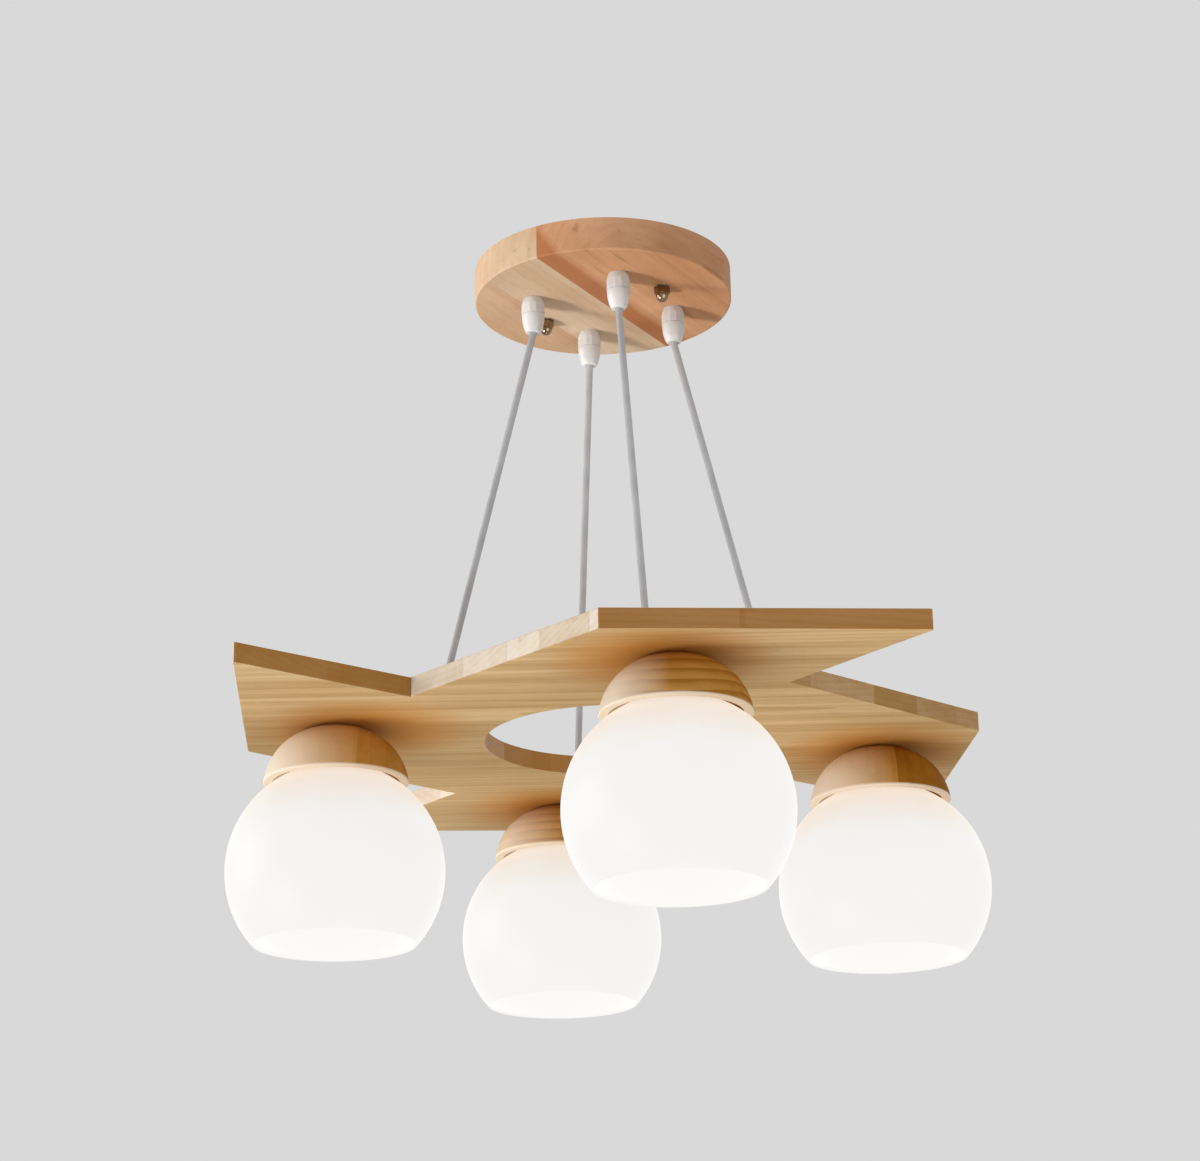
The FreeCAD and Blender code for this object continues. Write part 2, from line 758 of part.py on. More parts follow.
def bulb_cap():
    """The cap's insulating cone and its threaded sleeve, the thread as rounded rings."""
    radius = bulb_cap_dia / 2
    root = radius - bulb_thread_depth
    pitch = bulb_cap_length / (bulb_thread_count + 1)
    steps = [((bulb_cone_dia / 2, bulb_cone_top),), ((root, bulb_cap_top),)]
    height = bulb_cap_top
    for ring in range(bulb_thread_count):
        steps.append(((radius, height - pitch / 2), (root, height - pitch)))
        height -= pitch
    steps += [((root, bulb_cap_bottom),), ((0, bulb_cap_bottom),)]
    solid = turned((0, bulb_cone_top), *steps)
    return solid.cut(rod(2 * (root - bulb_cap_wall), bulb_cap_bottom - overrun, bulb_cap_top))


def bulb_envelope():
    """The bulb's thin frosted shell: a short neck, a flare and a round end."""
    top = bulb_cap_bottom
    bottom = top - bulb_length
    ball = bulb_dia / 2
    neck = bulb_cap_dia / 2 - bulb_neck_gap
    centre = bottom + ball
    ball_start = arc_point((0, centre), ball, bulb_ball_start_deg)
    flare_middle = ((neck + ball_start[0]) / 2 - bulb_flare_sink, (top + ball_start[1]) / 2)
    inner = ball - bulb_wall
    inner_start = arc_point((0, centre), inner, bulb_ball_start_deg)
    inner_neck = neck - bulb_wall
    inner_middle = (flare_middle[0] - bulb_wall, flare_middle[1])
    return turned((neck, top), (flare_middle, ball_start),
                  (arc_point((0, centre), ball, bulb_ball_middle_deg), (0, bottom)),
                  ((0, bottom + bulb_wall),),
                  (arc_point((0, centre), inner, bulb_ball_middle_deg), inner_start),
                  (inner_middle, (inner_neck, top)))


os.makedirs("parts", exist_ok=True)

write("canopy_disc", canopy_disc())
write("ceiling_bracket", ceiling_bracket())
stud_bottom = canopy_bottom - cap_washer_thickness - stud_reach
write("canopy_studs", *at_studs(rod(stud_dia, stud_bottom, -stud_recess)))
lock_nut_top = -bracket_thickness
lock_nut = prism(hexagon_sides, lock_nut_flats, lock_nut_top - lock_nut_height, lock_nut_top)
lock_nut = lock_nut.cut(rod(stud_dia + 2 * fit_gap, lock_nut_top - lock_nut_height - overrun, overrun))
write("stud_lock_nuts", *at_studs(lock_nut))
write("canopy_cap_nuts", *at_studs(cap_nut()))
write("cap_nut_washers", *at_studs(tube(cap_washer_dia, stud_dia + 2 * clear_gap,
                                        canopy_bottom - cap_washer_thickness, canopy_bottom)))
write("junction_block", junction_block())
write("junction_screws", *junction_screws())
write("cord_tails", *around(cord_tail(), grip_circle_radius))
write("canopy_cores", *around(canopy_cores(1), grip_circle_radius),
      *around(canopy_cores(-1), grip_circle_radius))
write("grip_bodies", *around(grip_body(), grip_circle_radius))
write("grip_lock_nuts", *around(grip_nut(), grip_circle_radius))
write("grip_collets", *around(grip_collet(), grip_circle_radius))
write("board", board())
write("board_bushes", *around(board_bush(), cord_foot_radius))
write("sheath_ends", *around(sheath_end(), cord_foot_radius))
write("board_cores", *around(board_cores(1), cord_foot_radius), *around(board_cores(-1), cord_foot_radius))
write("groove_covers", *around(groove_cover(), 0))
write("cover_screws", *cover_screws())
write("nipples", *around(nipple(), lamp_circle_radius))
write("nipple_washers", *around(nipple_washer(), lamp_circle_radius))
write("nipple_nuts", *around(nipple_nut(), lamp_circle_radius))
write("screw_shells", *around(screw_shell(), lamp_circle_radius))
write("centre_contacts", *around(centre_contact(), lamp_circle_radius))

lamp_pieces = {"wood_cup": wood_cup(), "lampholder": lampholder(), "shade_ring": shade_ring(),
               "glass_shade": glass_shade(), "bulb_envelope": bulb_envelope(), "bulb_cap": bulb_cap(),
               "bulb_contact": bulb_contact()}
for number in lamp_numbers:
    suffix = "_" + str(number + 1)
    write("grip_cap" + suffix, placed(grip_cap(), grip_circle_radius, lamp_angle(number)))
    write("cord" + suffix, cord(number))
    for name, shape in lamp_pieces.items():
        write(name + suffix, placed(shape, lamp_circle_radius, lamp_angle(number)))
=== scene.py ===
# %% [markdown]
# # A wooden pendant with four opal globes
# A thick round canopy sits against the ceiling. Four straight cords hold a flat wooden board with
# four arms, and under each arm hangs a turned wooden cup with an open globe of opal glass.
# The construction comes in as a fixed frame of named pieces in metres, with +Z up and the ceiling at
# height zero. This lesson gives the frame its finishes, and replaces the pieces that show most with
# meshes that are modelled more finely.

# %% Load the fixed frame
import json
import math
import random

import bpy
from mathutils import Euler, Matrix, Vector

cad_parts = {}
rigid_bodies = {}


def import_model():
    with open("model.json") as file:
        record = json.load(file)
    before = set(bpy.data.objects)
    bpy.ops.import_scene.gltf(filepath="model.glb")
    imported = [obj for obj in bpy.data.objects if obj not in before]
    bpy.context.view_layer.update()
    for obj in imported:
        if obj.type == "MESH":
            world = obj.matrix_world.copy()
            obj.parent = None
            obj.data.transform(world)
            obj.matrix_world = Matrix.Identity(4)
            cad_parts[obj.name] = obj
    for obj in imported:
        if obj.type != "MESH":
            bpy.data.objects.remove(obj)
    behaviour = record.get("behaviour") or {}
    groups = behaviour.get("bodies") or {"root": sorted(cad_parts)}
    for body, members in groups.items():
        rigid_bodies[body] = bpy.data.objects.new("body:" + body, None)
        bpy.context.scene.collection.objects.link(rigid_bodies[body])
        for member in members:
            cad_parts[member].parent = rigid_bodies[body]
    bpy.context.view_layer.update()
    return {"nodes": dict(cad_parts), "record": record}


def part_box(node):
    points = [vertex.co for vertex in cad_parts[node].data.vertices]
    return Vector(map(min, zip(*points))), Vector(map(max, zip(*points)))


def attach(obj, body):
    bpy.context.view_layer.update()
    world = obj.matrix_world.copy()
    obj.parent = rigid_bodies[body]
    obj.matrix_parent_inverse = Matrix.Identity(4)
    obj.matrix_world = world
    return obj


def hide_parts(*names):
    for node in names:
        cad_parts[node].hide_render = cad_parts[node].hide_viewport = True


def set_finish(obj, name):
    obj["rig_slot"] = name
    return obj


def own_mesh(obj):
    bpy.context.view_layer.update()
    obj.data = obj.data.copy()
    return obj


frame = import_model()

# %% [markdown]
# # The camera
# The photograph looks up at the pendant from two metres away. A long lens keeps the globes round, and
# a slight roll levels the board as the photograph has it. A camera looks along its own -Z, so its
# rotation is written as three columns: its right, its up, and the way back from what it sees.

# %% Set the camera
board_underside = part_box("board")[0].z
camera_place = Vector((-0.00645, -2.0, board_underside - 0.5665))
camera_pitch = 0.3307
camera_roll = -0.0199
camera_lens = 88.28
camera_reach = 50

view_way = Vector((0, math.cos(camera_pitch), math.sin(camera_pitch)))
level_up = Vector((0, -math.sin(camera_pitch), math.cos(camera_pitch)))
level_right = Vector((1, 0, 0))
camera_right = math.cos(camera_roll) * level_right + math.sin(camera_roll) * level_up
camera_up = math.cos(camera_roll) * level_up - math.sin(camera_roll) * level_right
camera_turn = Matrix((camera_right, camera_up, -view_way)).transposed()

bpy.ops.object.camera_add(location=camera_place)
camera = bpy.context.object
camera.name = "camera"
camera.rotation_euler = camera_turn.to_euler()
camera.data.lens = camera_lens
camera.data.clip_end = camera_reach
bpy.context.scene.camera = camera
print("the lens is", camera_lens, "mm")

# %% [markdown]
# # Small helpers
# An operator acts on all that is selected, so every piece starts with nothing selected. A finished
# piece keeps its object at the origin, with its place in its mesh, so that a pattern on object
# coordinates has the same scale and frame on every piece.

# %% Select with care
MM = 0.001


def put_down():
    """Leave edit mode and select nothing."""
    if bpy.context.mode != "OBJECT":
        bpy.ops.object.mode_set(mode="OBJECT")
    bpy.ops.object.select_all(action="DESELECT")


def pick(piece):
    """Select one piece alone, and make it the active one."""
    put_down()
    piece.select_set(True)
    bpy.context.view_layer.objects.active = piece


def settle(piece, name):
    """Name a finished piece and move its place into its mesh."""
    pick(piece)
    bpy.ops.object.transform_apply(location=True, rotation=True, scale=True)
    piece.name = name
    piece.data.name = name
    print(name, "has", len(piece.data.polygons), "faces")
    return piece


# %% [markdown]
# # Where the lamps are
# Each lamp hangs on an upright axis, a quarter turn from the next. The axes, the grips and the feet of
# the cords are read from the frame, so nothing here needs to be measured twice.

# %% Read the axes from the frame
LAMPS = (1, 2, 3, 4)


def middle(node):
    """The middle of a node's box."""
    low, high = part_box(node)
    return (low + high) / 2


def quarter_turn(spot, lamp):
    """The same spot at another lamp, a quarter turn on for each."""
    turn = math.radians(90 * (lamp - 1))
    return Vector((spot.x * math.cos(turn) - spot.y * math.sin(turn),
                   spot.x * math.sin(turn) + spot.y * math.cos(turn), spot.z))


lamp_axis = middle("glass_shade_1")
lamp_way = Vector((lamp_axis.x, lamp_axis.y, 0)).normalized()
grip_axis = middle("grip_cap_1")
grip_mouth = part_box("grip_cap_1")[0].z
bush_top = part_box("board_bushes")[1].z
print("lamp 1 stands at", tuple(lamp_axis), "and its cord leaves the canopy at", tuple(grip_axis))

# %% [markdown]
# # The four cords
# Each cord is a grey flex that carries a quarter of the weight, so it is straight from the grip in the
# canopy to its bush on the board. Its line is a smooth spline whose points lie on that straight
# stretch. The tube is swept along the line, and both its ends are cut level, as the grip and the bush
# cut them in real life. When the board is raised the cord shortens between them.

# %% Sweep the cords
cord_diameter = 5 * MM
cord_foot_radius = 123 * MM
cord_lead = 6 * cord_diameter
cord_roundness = 7
SPLINE_ORDER = 3
SPLINE_STEPS = 12


def cord_line(lamp):
    """The points of one cord's route, from the grip's mouth down to the bush."""
    head = Vector((grip_axis.x, grip_axis.y, grip_mouth))
    foot = lamp_way * cord_foot_radius + Vector((0, 0, bush_top))
    lead = (foot - head).normalized() * cord_lead
    return [quarter_turn(spot, lamp) for spot in (head, head + lead, foot - lead, foot)]


def spline_of(name, points):
    """A smooth curve with the points of a route as its control points."""
    curve = bpy.data.curves.new(name, "CURVE")
    curve.dimensions = "3D"
    spline = curve.splines.new("NURBS")
    spline.points.add(len(points) - 1)
    for spot, target in zip(spline.points, points):
        spot.co = (*target, 1)
    spline.order_u = SPLINE_ORDER
    spline.use_endpoint_u = True
    spline.resolution_u = SPLINE_STEPS
    made = bpy.data.objects.new(name, curve)
    bpy.context.scene.collection.objects.link(made)
    return made


def level_end(height, side):
    """Cut the end of the tube level at a height, and close it."""
    bpy.ops.mesh.select_all(action="SELECT")
    bpy.ops.mesh.bisect(plane_co=(0, 0, height), plane_no=(0, 0, side), use_fill=True,
                        clear_outer=True)


cords = {}
for lamp in LAMPS:
    put_down()
    points = cord_line(lamp)
    overrun = (points[-1] - points[0]).normalized() * cord_diameter
    line = spline_of(f"flex_{lamp}", points)
    bpy.context.view_layer.update()
    traced = bpy.data.meshes.new_from_object(line.evaluated_get(bpy.context.evaluated_depsgraph_get()))
    line.data.splines[0].points[0].co = (*(points[0] - overrun), 1)
    line.data.splines[0].points[-1].co = (*(points[-1] + overrun), 1)
    line.data.bevel_depth = cord_diameter / 2
    line.data.bevel_resolution = cord_roundness
    pick(line)
    bpy.ops.object.convert(target="MESH")
    tube = bpy.context.object
    bpy.ops.object.mode_set(mode="EDIT")
    level_end(grip_mouth, 1)
    level_end(bush_top, -1)
    bpy.ops.mesh.select_all(action="SELECT")
    bpy.ops.mesh.normals_make_consistent(inside=False)
    bpy.ops.object.mode_set(mode="OBJECT")
    bpy.ops.object.shade_smooth_by_angle(angle=math.radians(40))
    cords[lamp] = settle(tube, f"flex_{lamp}")
    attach(tube, "canopy")
    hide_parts(f"cord_{lamp}")
    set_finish(tube, "cord_sheath")

# %% Give each cord its own mesh
for lamp in LAMPS:
    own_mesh(cords[lamp])

# %% [markdown]
# # A lathe for round pieces
# Globes, grips and nuts are round about an upright axis, and in a workshop they come off a lathe or out
# of a turned mould. Here a single point is drawn out into the piece's half outline, and the outline is
# spun once round the axis. A round form that would carry flats, such as a nut, is turned first and then
# planed: each flat is one straight cut that throws away what lies outside it and closes the gap.

# %% Turn and plane
ROUND_STEPS = 96
WELD = 0.005 * MM


def arc(centre, radius, start, end, step=5):
    """Points on an arc of an outline. Angles are degrees from straight up towards the outside."""
    count = max(2, math.ceil(abs(end - start) / step))
    turns = [math.radians(start + (end - start) * share / count) for share in range(count + 1)]
    return [(centre[0] + radius * math.sin(turn), centre[1] + radius * math.cos(turn)) for turn in turns]


def spun(outline, steps=ROUND_STEPS):
    """Turn an outline of radii and heights once round the upright axis, and leave it in edit mode."""
    put_down()
    bpy.ops.mesh.primitive_plane_add(size=MM, location=(0, 0, 0))
    piece = bpy.context.object
    bpy.ops.object.mode_set(mode="EDIT")
    bpy.ops.mesh.merge(type="CENTER")
    bpy.ops.transform.translate(value=(outline[0][0], 0, outline[0][1]))
    on_axis = outline[0][0] == 0 and outline[-1][0] == 0
    rest = outline[1:] if on_axis else outline[1:] + outline[:1]
    for before, after in zip(outline, rest):
        step = (after[0] - before[0], 0, after[1] - before[1])
        bpy.ops.mesh.extrude_region_move(TRANSFORM_OT_translate={"value": step})
    bpy.ops.mesh.select_all(action="SELECT")
    bpy.ops.mesh.spin(steps=steps, angle=2 * math.pi, center=(0, 0, 0), axis=(0, 0, 1))
    bpy.ops.mesh.select_all(action="SELECT")
    bpy.ops.mesh.remove_doubles(threshold=WELD)
    bpy.ops.mesh.normals_make_consistent(inside=False)
    return piece


def plane_flats(count, reach):
    """Plane a number of flats round the piece that is in edit mode, at a distance from its axis."""
    for number in range(count):
        turn = 2 * math.pi * number / count
        way = (math.cos(turn), math.sin(turn), 0)
        bpy.ops.mesh.select_all(action="SELECT")
        bpy.ops.mesh.bisect(plane_co=Vector(way) * reach, plane_no=way, use_fill=True,
                            clear_outer=True)


def smooth(piece, angle):
    """Leave edit mode, and shade smooth across all edges that are blunter than an angle."""
    bpy.ops.object.mode_set(mode="OBJECT")
    pick(piece)
    bpy.ops.object.shade_smooth_by_angle(angle=math.radians(angle))


def at_spots(piece, name, spots):
    """Copy a finished shape to each spot and turn, each copy with its own mesh, and remove the first."""
    made = []
    for number, (spot, turn) in enumerate(spots, 1):
        pick(piece)
        bpy.ops.object.duplicate()
        copy = bpy.context.object
        copy.location = spot
        copy.rotation_euler.z = turn
        made.append(settle(copy, f"{name}_{number}"))
    pick(piece)
    bpy.ops.object.delete()
    return made


def lamp_spots(spot):
    """A spot at lamp 1 and its like at each other lamp, with the quarter turns between them."""
    return [(quarter_turn(spot, lamp), math.radians(90 * (lamp - 1))) for lamp in LAMPS]


# %% [markdown]
# # The opal globes
# A globe is blown glass with a wall of three millimetres. Its crown is flat where the ring clamps it,
# with a hole for the lampholder's skirt, and its mouth was cut open and melted to a round edge. The
# outline runs down the outside, round that edge and back up the inside, so the glass has its real
# thickness and the mouth shows it.

# %% Blow the globes
GLASS_WALL = 3 * MM
CROWN_RADIUS = 30 * MM
NECK_RADIUS = 20.45 * MM
GLOBE_STEPS = 128

glass_low, glass_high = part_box("glass_shade_1")
globe_radius = (glass_high.x - glass_low.x) / 2
inside_radius = globe_radius - GLASS_WALL
crown_rise = math.sqrt(globe_radius ** 2 - CROWN_RADIUS ** 2)
globe_centre = glass_high.z - crown_rise
edge_round = GLASS_WALL / 2
edge_path = globe_radius - edge_round
mouth_angle = 180 - math.degrees(math.acos((globe_centre - glass_low.z - edge_round) / edge_path))
mouth_turn = math.radians(mouth_angle)
edge_centre = (edge_path * math.sin(mouth_turn), edge_path * math.cos(mouth_turn))
crown_angle = math.degrees(math.asin(CROWN_RADIUS / globe_radius))
inside_angle = math.degrees(math.acos((crown_rise - GLASS_WALL) / inside_radius))

globe_outline = arc((0, 0), globe_radius, crown_angle, mouth_angle, step=3)
globe_outline += arc(edge_centre, edge_round, mouth_angle, mouth_angle + 180, step=20)[1:]
globe_outline += arc((0, 0), inside_radius, mouth_angle, inside_angle, step=3)[1:]
globe_outline += [(NECK_RADIUS, crown_rise - GLASS_WALL), (NECK_RADIUS, crown_rise)]
globe = spun(globe_outline, steps=GLOBE_STEPS)
smooth(globe, angle=35)
globes = at_spots(globe, "opal_globe", lamp_spots(Vector((lamp_axis.x, lamp_axis.y, globe_centre))))
for lamp, piece in zip(LAMPS, globes):
    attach(piece, f"shade_{lamp}")
    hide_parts(f"glass_shade_{lamp}")
    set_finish(piece, "opal_glass")
print("each globe is", round(2 * globe_radius, 4), "m across, and its mouth", round(2 * edge_centre[0], 4))

# %% [markdown]
# # The cord grips
# A grip is two mouldings of milky nylon. Its collar stands against the canopy, with a threaded stem that
# goes through it, and has twelve flats so that it can be held. Below it a tapered cap screws on and
# closes a sleeve on the cord. Both are turned, and the collar is planed. Where they meet, both edges are
# broken a little, so that the joint shows as a fine dark line.

# %% Mould the collars
BROKEN_EDGE = 0.35 * MM
CORD_PLAY = 0.3 * MM
COLLAR_FLATS = 12
FLAT_SHARE = 0.955
STEM_RADIUS = 5 * MM
NECK_SHARE = 0.8
NECK_START = 0.3
NECK_STOPS = (NECK_START, 0.45, 0.6, 0.72, 0.82, 0.9, 0.96, 1.0)

canopy_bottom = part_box("canopy_disc")[0].z
grip_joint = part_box("grip_cap_1")[1].z
stem_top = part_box("grip_bodies")[1].z
cap_low, cap_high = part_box("grip_cap_1")
grip_radius = (cap_high.x - cap_low.x) / 2 / FLAT_SHARE
bore_radius = cord_diameter / 2 + CORD_PLAY
collar_height = canopy_bottom - grip_joint

collar_outline = [(bore_radius, grip_joint), (grip_radius - BROKEN_EDGE, grip_joint),
                  (grip_radius, grip_joint + BROKEN_EDGE)]
for share in NECK_STOPS:
    swell = 1 - (1 - NECK_SHARE) * ((share - NECK_START) / (1 - NECK_START)) ** 2
    collar_outline.append((grip_radius * swell, grip_joint + collar_height * share))
collar_outline += [(STEM_RADIUS, canopy_bottom), (STEM_RADIUS, stem_top - BROKEN_EDGE),
                   (STEM_RADIUS - BROKEN_EDGE, stem_top), (bore_radius, stem_top)]
collar = spun(collar_outline)
plane_flats(COLLAR_FLATS, grip_radius * FLAT_SHARE)
smooth(collar, angle=8)
grip_spot = Vector((grip_axis.x, grip_axis.y, 0))
collars = at_spots(collar, "grip_collar", lamp_spots(grip_spot))
for piece in collars:
    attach(piece, "canopy")
    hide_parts("grip_bodies")
    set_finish(piece, "grip_nylon")

# %% Mould the caps
MOUTH_RADIUS = 5.5 * MM
BULGE_SHARE = 0.82
BULGE_HEIGHT = 0.35
MOUTH_ROUND = 0.9 * MM
SLEEVE_POCKET = 4.5 * MM
POCKET_DEPTH = 9.2 * MM
CAP_STEPS = 12

cap_height = grip_joint - grip_mouth
cap_wide = grip_radius * FLAT_SHARE
bulge = (grip_radius * BULGE_SHARE, grip_mouth + cap_height * BULGE_HEIGHT)


def on_curve(share):
    """A point on the smooth curve from the cap's mouth, through its bulge, to its joint."""
    bend = BULGE_HEIGHT
    to_mouth = (share - bend) * (share - 1) / bend
    to_bulge = share * (share - 1) / (bend * (bend - 1))
    to_joint = share * (share - bend) / (1 - bend)
    radius = MOUTH_RADIUS * to_mouth + bulge[0] * to_bulge + cap_wide * to_joint
    return (radius, grip_mouth + cap_height * share)


cap_outline = [(bore_radius, grip_mouth)]
cap_outline += arc((MOUTH_RADIUS - MOUTH_ROUND, grip_mouth + MOUTH_ROUND), MOUTH_ROUND, 180, 100, step=16)
cap_outline += [on_curve(step / CAP_STEPS) for step in range(2, CAP_STEPS)]
cap_outline += [(cap_wide, grip_joint - BROKEN_EDGE), (cap_wide - BROKEN_EDGE, grip_joint),
                (SLEEVE_POCKET, grip_joint), (SLEEVE_POCKET, grip_joint - POCKET_DEPTH),
                (bore_radius, grip_joint - POCKET_DEPTH)]
cap = spun(cap_outline)
smooth(cap, angle=30)
caps = at_spots(cap, "grip_taper", lamp_spots(grip_spot))
for lamp, piece in zip(LAMPS, caps):
    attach(piece, f"grip_cap_{lamp}")
    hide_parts(f"grip_cap_{lamp}")
    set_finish(piece, "grip_nylon")

# %% [markdown]
# # The cap nuts
# Two domed nuts on thin washers hold the canopy up. A nut is turned with its bevels and its dome, and
# then six flats are planed on it. The flats cut the bevel in shallow bows, as on a real nut.

# %% Turn the nuts and their washers
NUT_FLATS = 6
NUT_REACH = 5 * MM
NUT_BEVEL = 0.55 * MM
NUT_BORE = 2.55 * MM
NUT_BORE_DEPTH = 9 * MM
HEX_HEIGHT = 5 * MM
WASHER_ROUND = 0.3 * MM
WASHER_BORE = 2.8 * MM
WASHER_RADIUS = 6 * MM
NUT_SPACING = 103 * MM

nut_low, nut_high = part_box("canopy_cap_nuts")
washer_low, washer_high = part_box("cap_nut_washers")
nut_corner = NUT_REACH / math.cos(math.pi / NUT_FLATS)
hex_bottom = nut_high.z - HEX_HEIGHT
dome_rise = hex_bottom - nut_low.z
dome_radius = NUT_REACH - BROKEN_EDGE
nut_outline = [(0, nut_high.z - NUT_BORE_DEPTH), (NUT_BORE, nut_high.z - NUT_BORE_DEPTH),
               (NUT_BORE, nut_high.z), (dome_radius, nut_high.z),
               (nut_corner, nut_high.z - NUT_BEVEL), (nut_corner, hex_bottom + NUT_BEVEL),
               (dome_radius, hex_bottom)]
nut_outline += [(dome_radius * x, hex_bottom - dome_rise * y)
                for x, y in arc((0, 0), 1, 85, 0, step=7)]
nut = spun(nut_outline)
plane_flats(NUT_FLATS, NUT_REACH)
smooth(nut, angle=20)

washer_outline = [(WASHER_BORE, washer_high.z), (WASHER_RADIUS - WASHER_ROUND, washer_high.z)]
washer_edge = (WASHER_RADIUS - WASHER_ROUND, washer_low.z + WASHER_ROUND)
washer_outline += arc(washer_edge, WASHER_ROUND, 90, 180, step=30)
washer_outline += [(WASHER_BORE, washer_low.z)]
washer = spun(washer_outline)
smooth(washer, angle=35)

nut_way = grip_axis + quarter_turn(grip_axis, 2)
nut_way = Vector((nut_way.x, nut_way.y, 0)).normalized()
nut_turn = math.atan2(nut_way.y, nut_way.x)
nut_spots = [(nut_way * NUT_SPACING / 2 * side, nut_turn) for side in (1, -1)]
for shape, name, node in ((nut, "domed_nut", "canopy_cap_nuts"),
                          (washer, "nut_washer", "cap_nut_washers")):
    for piece in at_spots(shape, name, nut_spots):
        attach(piece, "canopy")
        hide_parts(node)
        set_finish(piece, "polished_nut")

# %% [markdown]
# # On top of the board
# Each cord ends in a low moulded bush, which grips its sheath. From there its cores run in a groove to
# the lamp under a thin wooden cover, and two countersunk screws hold the cover down. The screws are
# turned, and a cross is sunk into each head by cutting two thin blocks out of it.

# %% Mould the bushes
BUSH_RADIUS = 9 * MM
BUSH_STEM = 4.5 * MM
FLANGE_SHARE = 0.25
BUSH_NECK = 0.7
FLANGE_ROUND = 0.5 * MM

bush_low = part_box("board_bushes")[0]
board_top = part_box("board")[1].z
bush_height = bush_top - board_top
bush_neck = BUSH_RADIUS * BUSH_NECK
flange_top = board_top + bush_height * FLANGE_SHARE
shoulder = BUSH_RADIUS - bush_neck
bush_outline = [(cord_diameter / 2, bush_low.z), (BUSH_STEM, bush_low.z), (BUSH_STEM, board_top),
                (BUSH_RADIUS, board_top)]
bush_outline += arc((BUSH_RADIUS - FLANGE_ROUND, flange_top - FLANGE_ROUND), FLANGE_ROUND, 90, 30,
                    step=20)
bush_outline += [(radius, height) for radius, height in
                 arc((bush_neck, flange_top), shoulder, 70, 0, step=10) if radius > bush_neck]
bush_outline += arc((bush_neck - FLANGE_ROUND, bush_top - FLANGE_ROUND), FLANGE_ROUND, 90, 0,
                    step=30)
bush_outline += [(cord_diameter / 2, bush_top)]
bush = spun(bush_outline)
smooth(bush, angle=35)
for piece in at_spots(bush, "cord_bush", lamp_spots(lamp_way * cord_foot_radius)):
    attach(piece, "lamp_board")
    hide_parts("board_bushes")
    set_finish(piece, "grip_nylon")

# %% Turn the cover screws and sink their crosses
SCREW_HEAD = 2.8 * MM
SCREW_SHANK = 1.3 * MM
SCREW_LENGTH = 7 * MM
SCREW_STEPS = 48
CROSS_LENGTH = 3.4 * MM
CROSS_WIDTH = 0.75 * MM
CROSS_DEPTH = 1.1 * MM
SCREW_PLACES = ((156.3 * MM, 8.5 * MM), (173.4 * MM, -8.5 * MM))

screw_outline = [(0, board_top - SCREW_LENGTH), (SCREW_SHANK, board_top - SCREW_LENGTH + SCREW_SHANK),
                 (SCREW_SHANK, board_top - SCREW_HEAD + SCREW_SHANK), (SCREW_HEAD, board_top),
                 (0, board_top)]
screw = spun(screw_outline, steps=SCREW_STEPS)
smooth(screw, angle=20)
for turn in (0, math.pi / 2):
    put_down()
    bpy.ops.mesh.primitive_cube_add(size=1, location=(0, 0, board_top), rotation=(0, 0, turn),
                                    scale=(CROSS_LENGTH, CROSS_WIDTH, 2 * CROSS_DEPTH))
    block_cutter = bpy.context.object
    pick(screw)
    cut = screw.modifiers.new("cross", "BOOLEAN")
    cut.operation = "DIFFERENCE"
    cut.solver = "EXACT"
    cut.object = block_cutter
    bpy.ops.object.modifier_apply(modifier=cut.name)
    pick(block_cutter)
    bpy.ops.object.delete()
screw_spots = []
side_way = Vector((-lamp_way.y, lamp_way.x, 0))
for along, beside in SCREW_PLACES:
    screw_spots += lamp_spots(lamp_way * along + side_way * beside)
for piece in at_spots(screw, "cover_screw", screw_spots):
    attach(piece, "lamp_board")
    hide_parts("cover_screws")
    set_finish(piece, "zinc_steel")

# %% [markdown]
# # Node helpers for the finishes
# Every finish is made of nodes on object coordinates, which are the real metres of the piece, so a
# grain or a scratch has its real size. These helpers add a node, fill its inputs with numbers or with
# other nodes' outputs, do sums, take vectors and colours apart, and mix two colours.

# %% Write nodes with short lines
def paint(red, green, blue):
    """A colour that is read from a screen, as the linear colour that a shader takes."""
    linear = []
    for value in (red, green, blue):
        share = value / 255
        linear.append(share / 12.92 if share <= 0.04045 else ((share + 0.055) / 1.055) ** 2.4)
    return (*linear, 1)


def darker(colour, share):
    """A colour at a share of its brightness."""
    return (*(channel * share for channel in colour[:3]), 1)


def put(tree, kind, inputs=None, **settings):
    """Add a node, set its options, and fill its inputs with values or with other nodes' outputs."""
    made = tree.nodes.new(kind)
    for key, value in settings.items():
        setattr(made, key, value)
    for key, value in (inputs or {}).items():
        if isinstance(value, bpy.types.NodeSocket):
            tree.links.new(value, made.inputs[key])
        else:
            made.inputs[key].default_value = value
    return made


def reckon(tree, operation, first, second=0.0, third=0.0):
    """One sum on two or three numbers."""
    return put(tree, "ShaderNodeMath", {0: first, 1: second, 2: third}, operation=operation).outputs[0]


def between(tree, value, low, high, to_low=0.0, to_high=1.0):
    """Stretch a range of numbers over another one, and clamp it there."""
    return put(tree, "ShaderNodeMapRange", {"Value": value, "From Min": low, "From Max": high,
                                            "To Min": to_low, "To Max": to_high}).outputs["Result"]


def mixed(tree, factor, first, second):
    """Mix two colours. The node keeps its two colours in sockets 6 and 7, and gives the mix in 2."""
    return put(tree, "ShaderNodeMix", {0: factor, 6: first, 7: second}, data_type="RGBA").outputs[2]


# %% Read places and patterns
def parts(tree, vector):
    """The three numbers of a vector, as the sockets X, Y and Z."""
    return put(tree, "ShaderNodeSeparateXYZ", {"Vector": vector}).outputs


def channels(tree, colour):
    """The three numbers of a colour, as the sockets Red, Green and Blue."""
    return put(tree, "ShaderNodeSeparateColor", {"Color": colour}).outputs


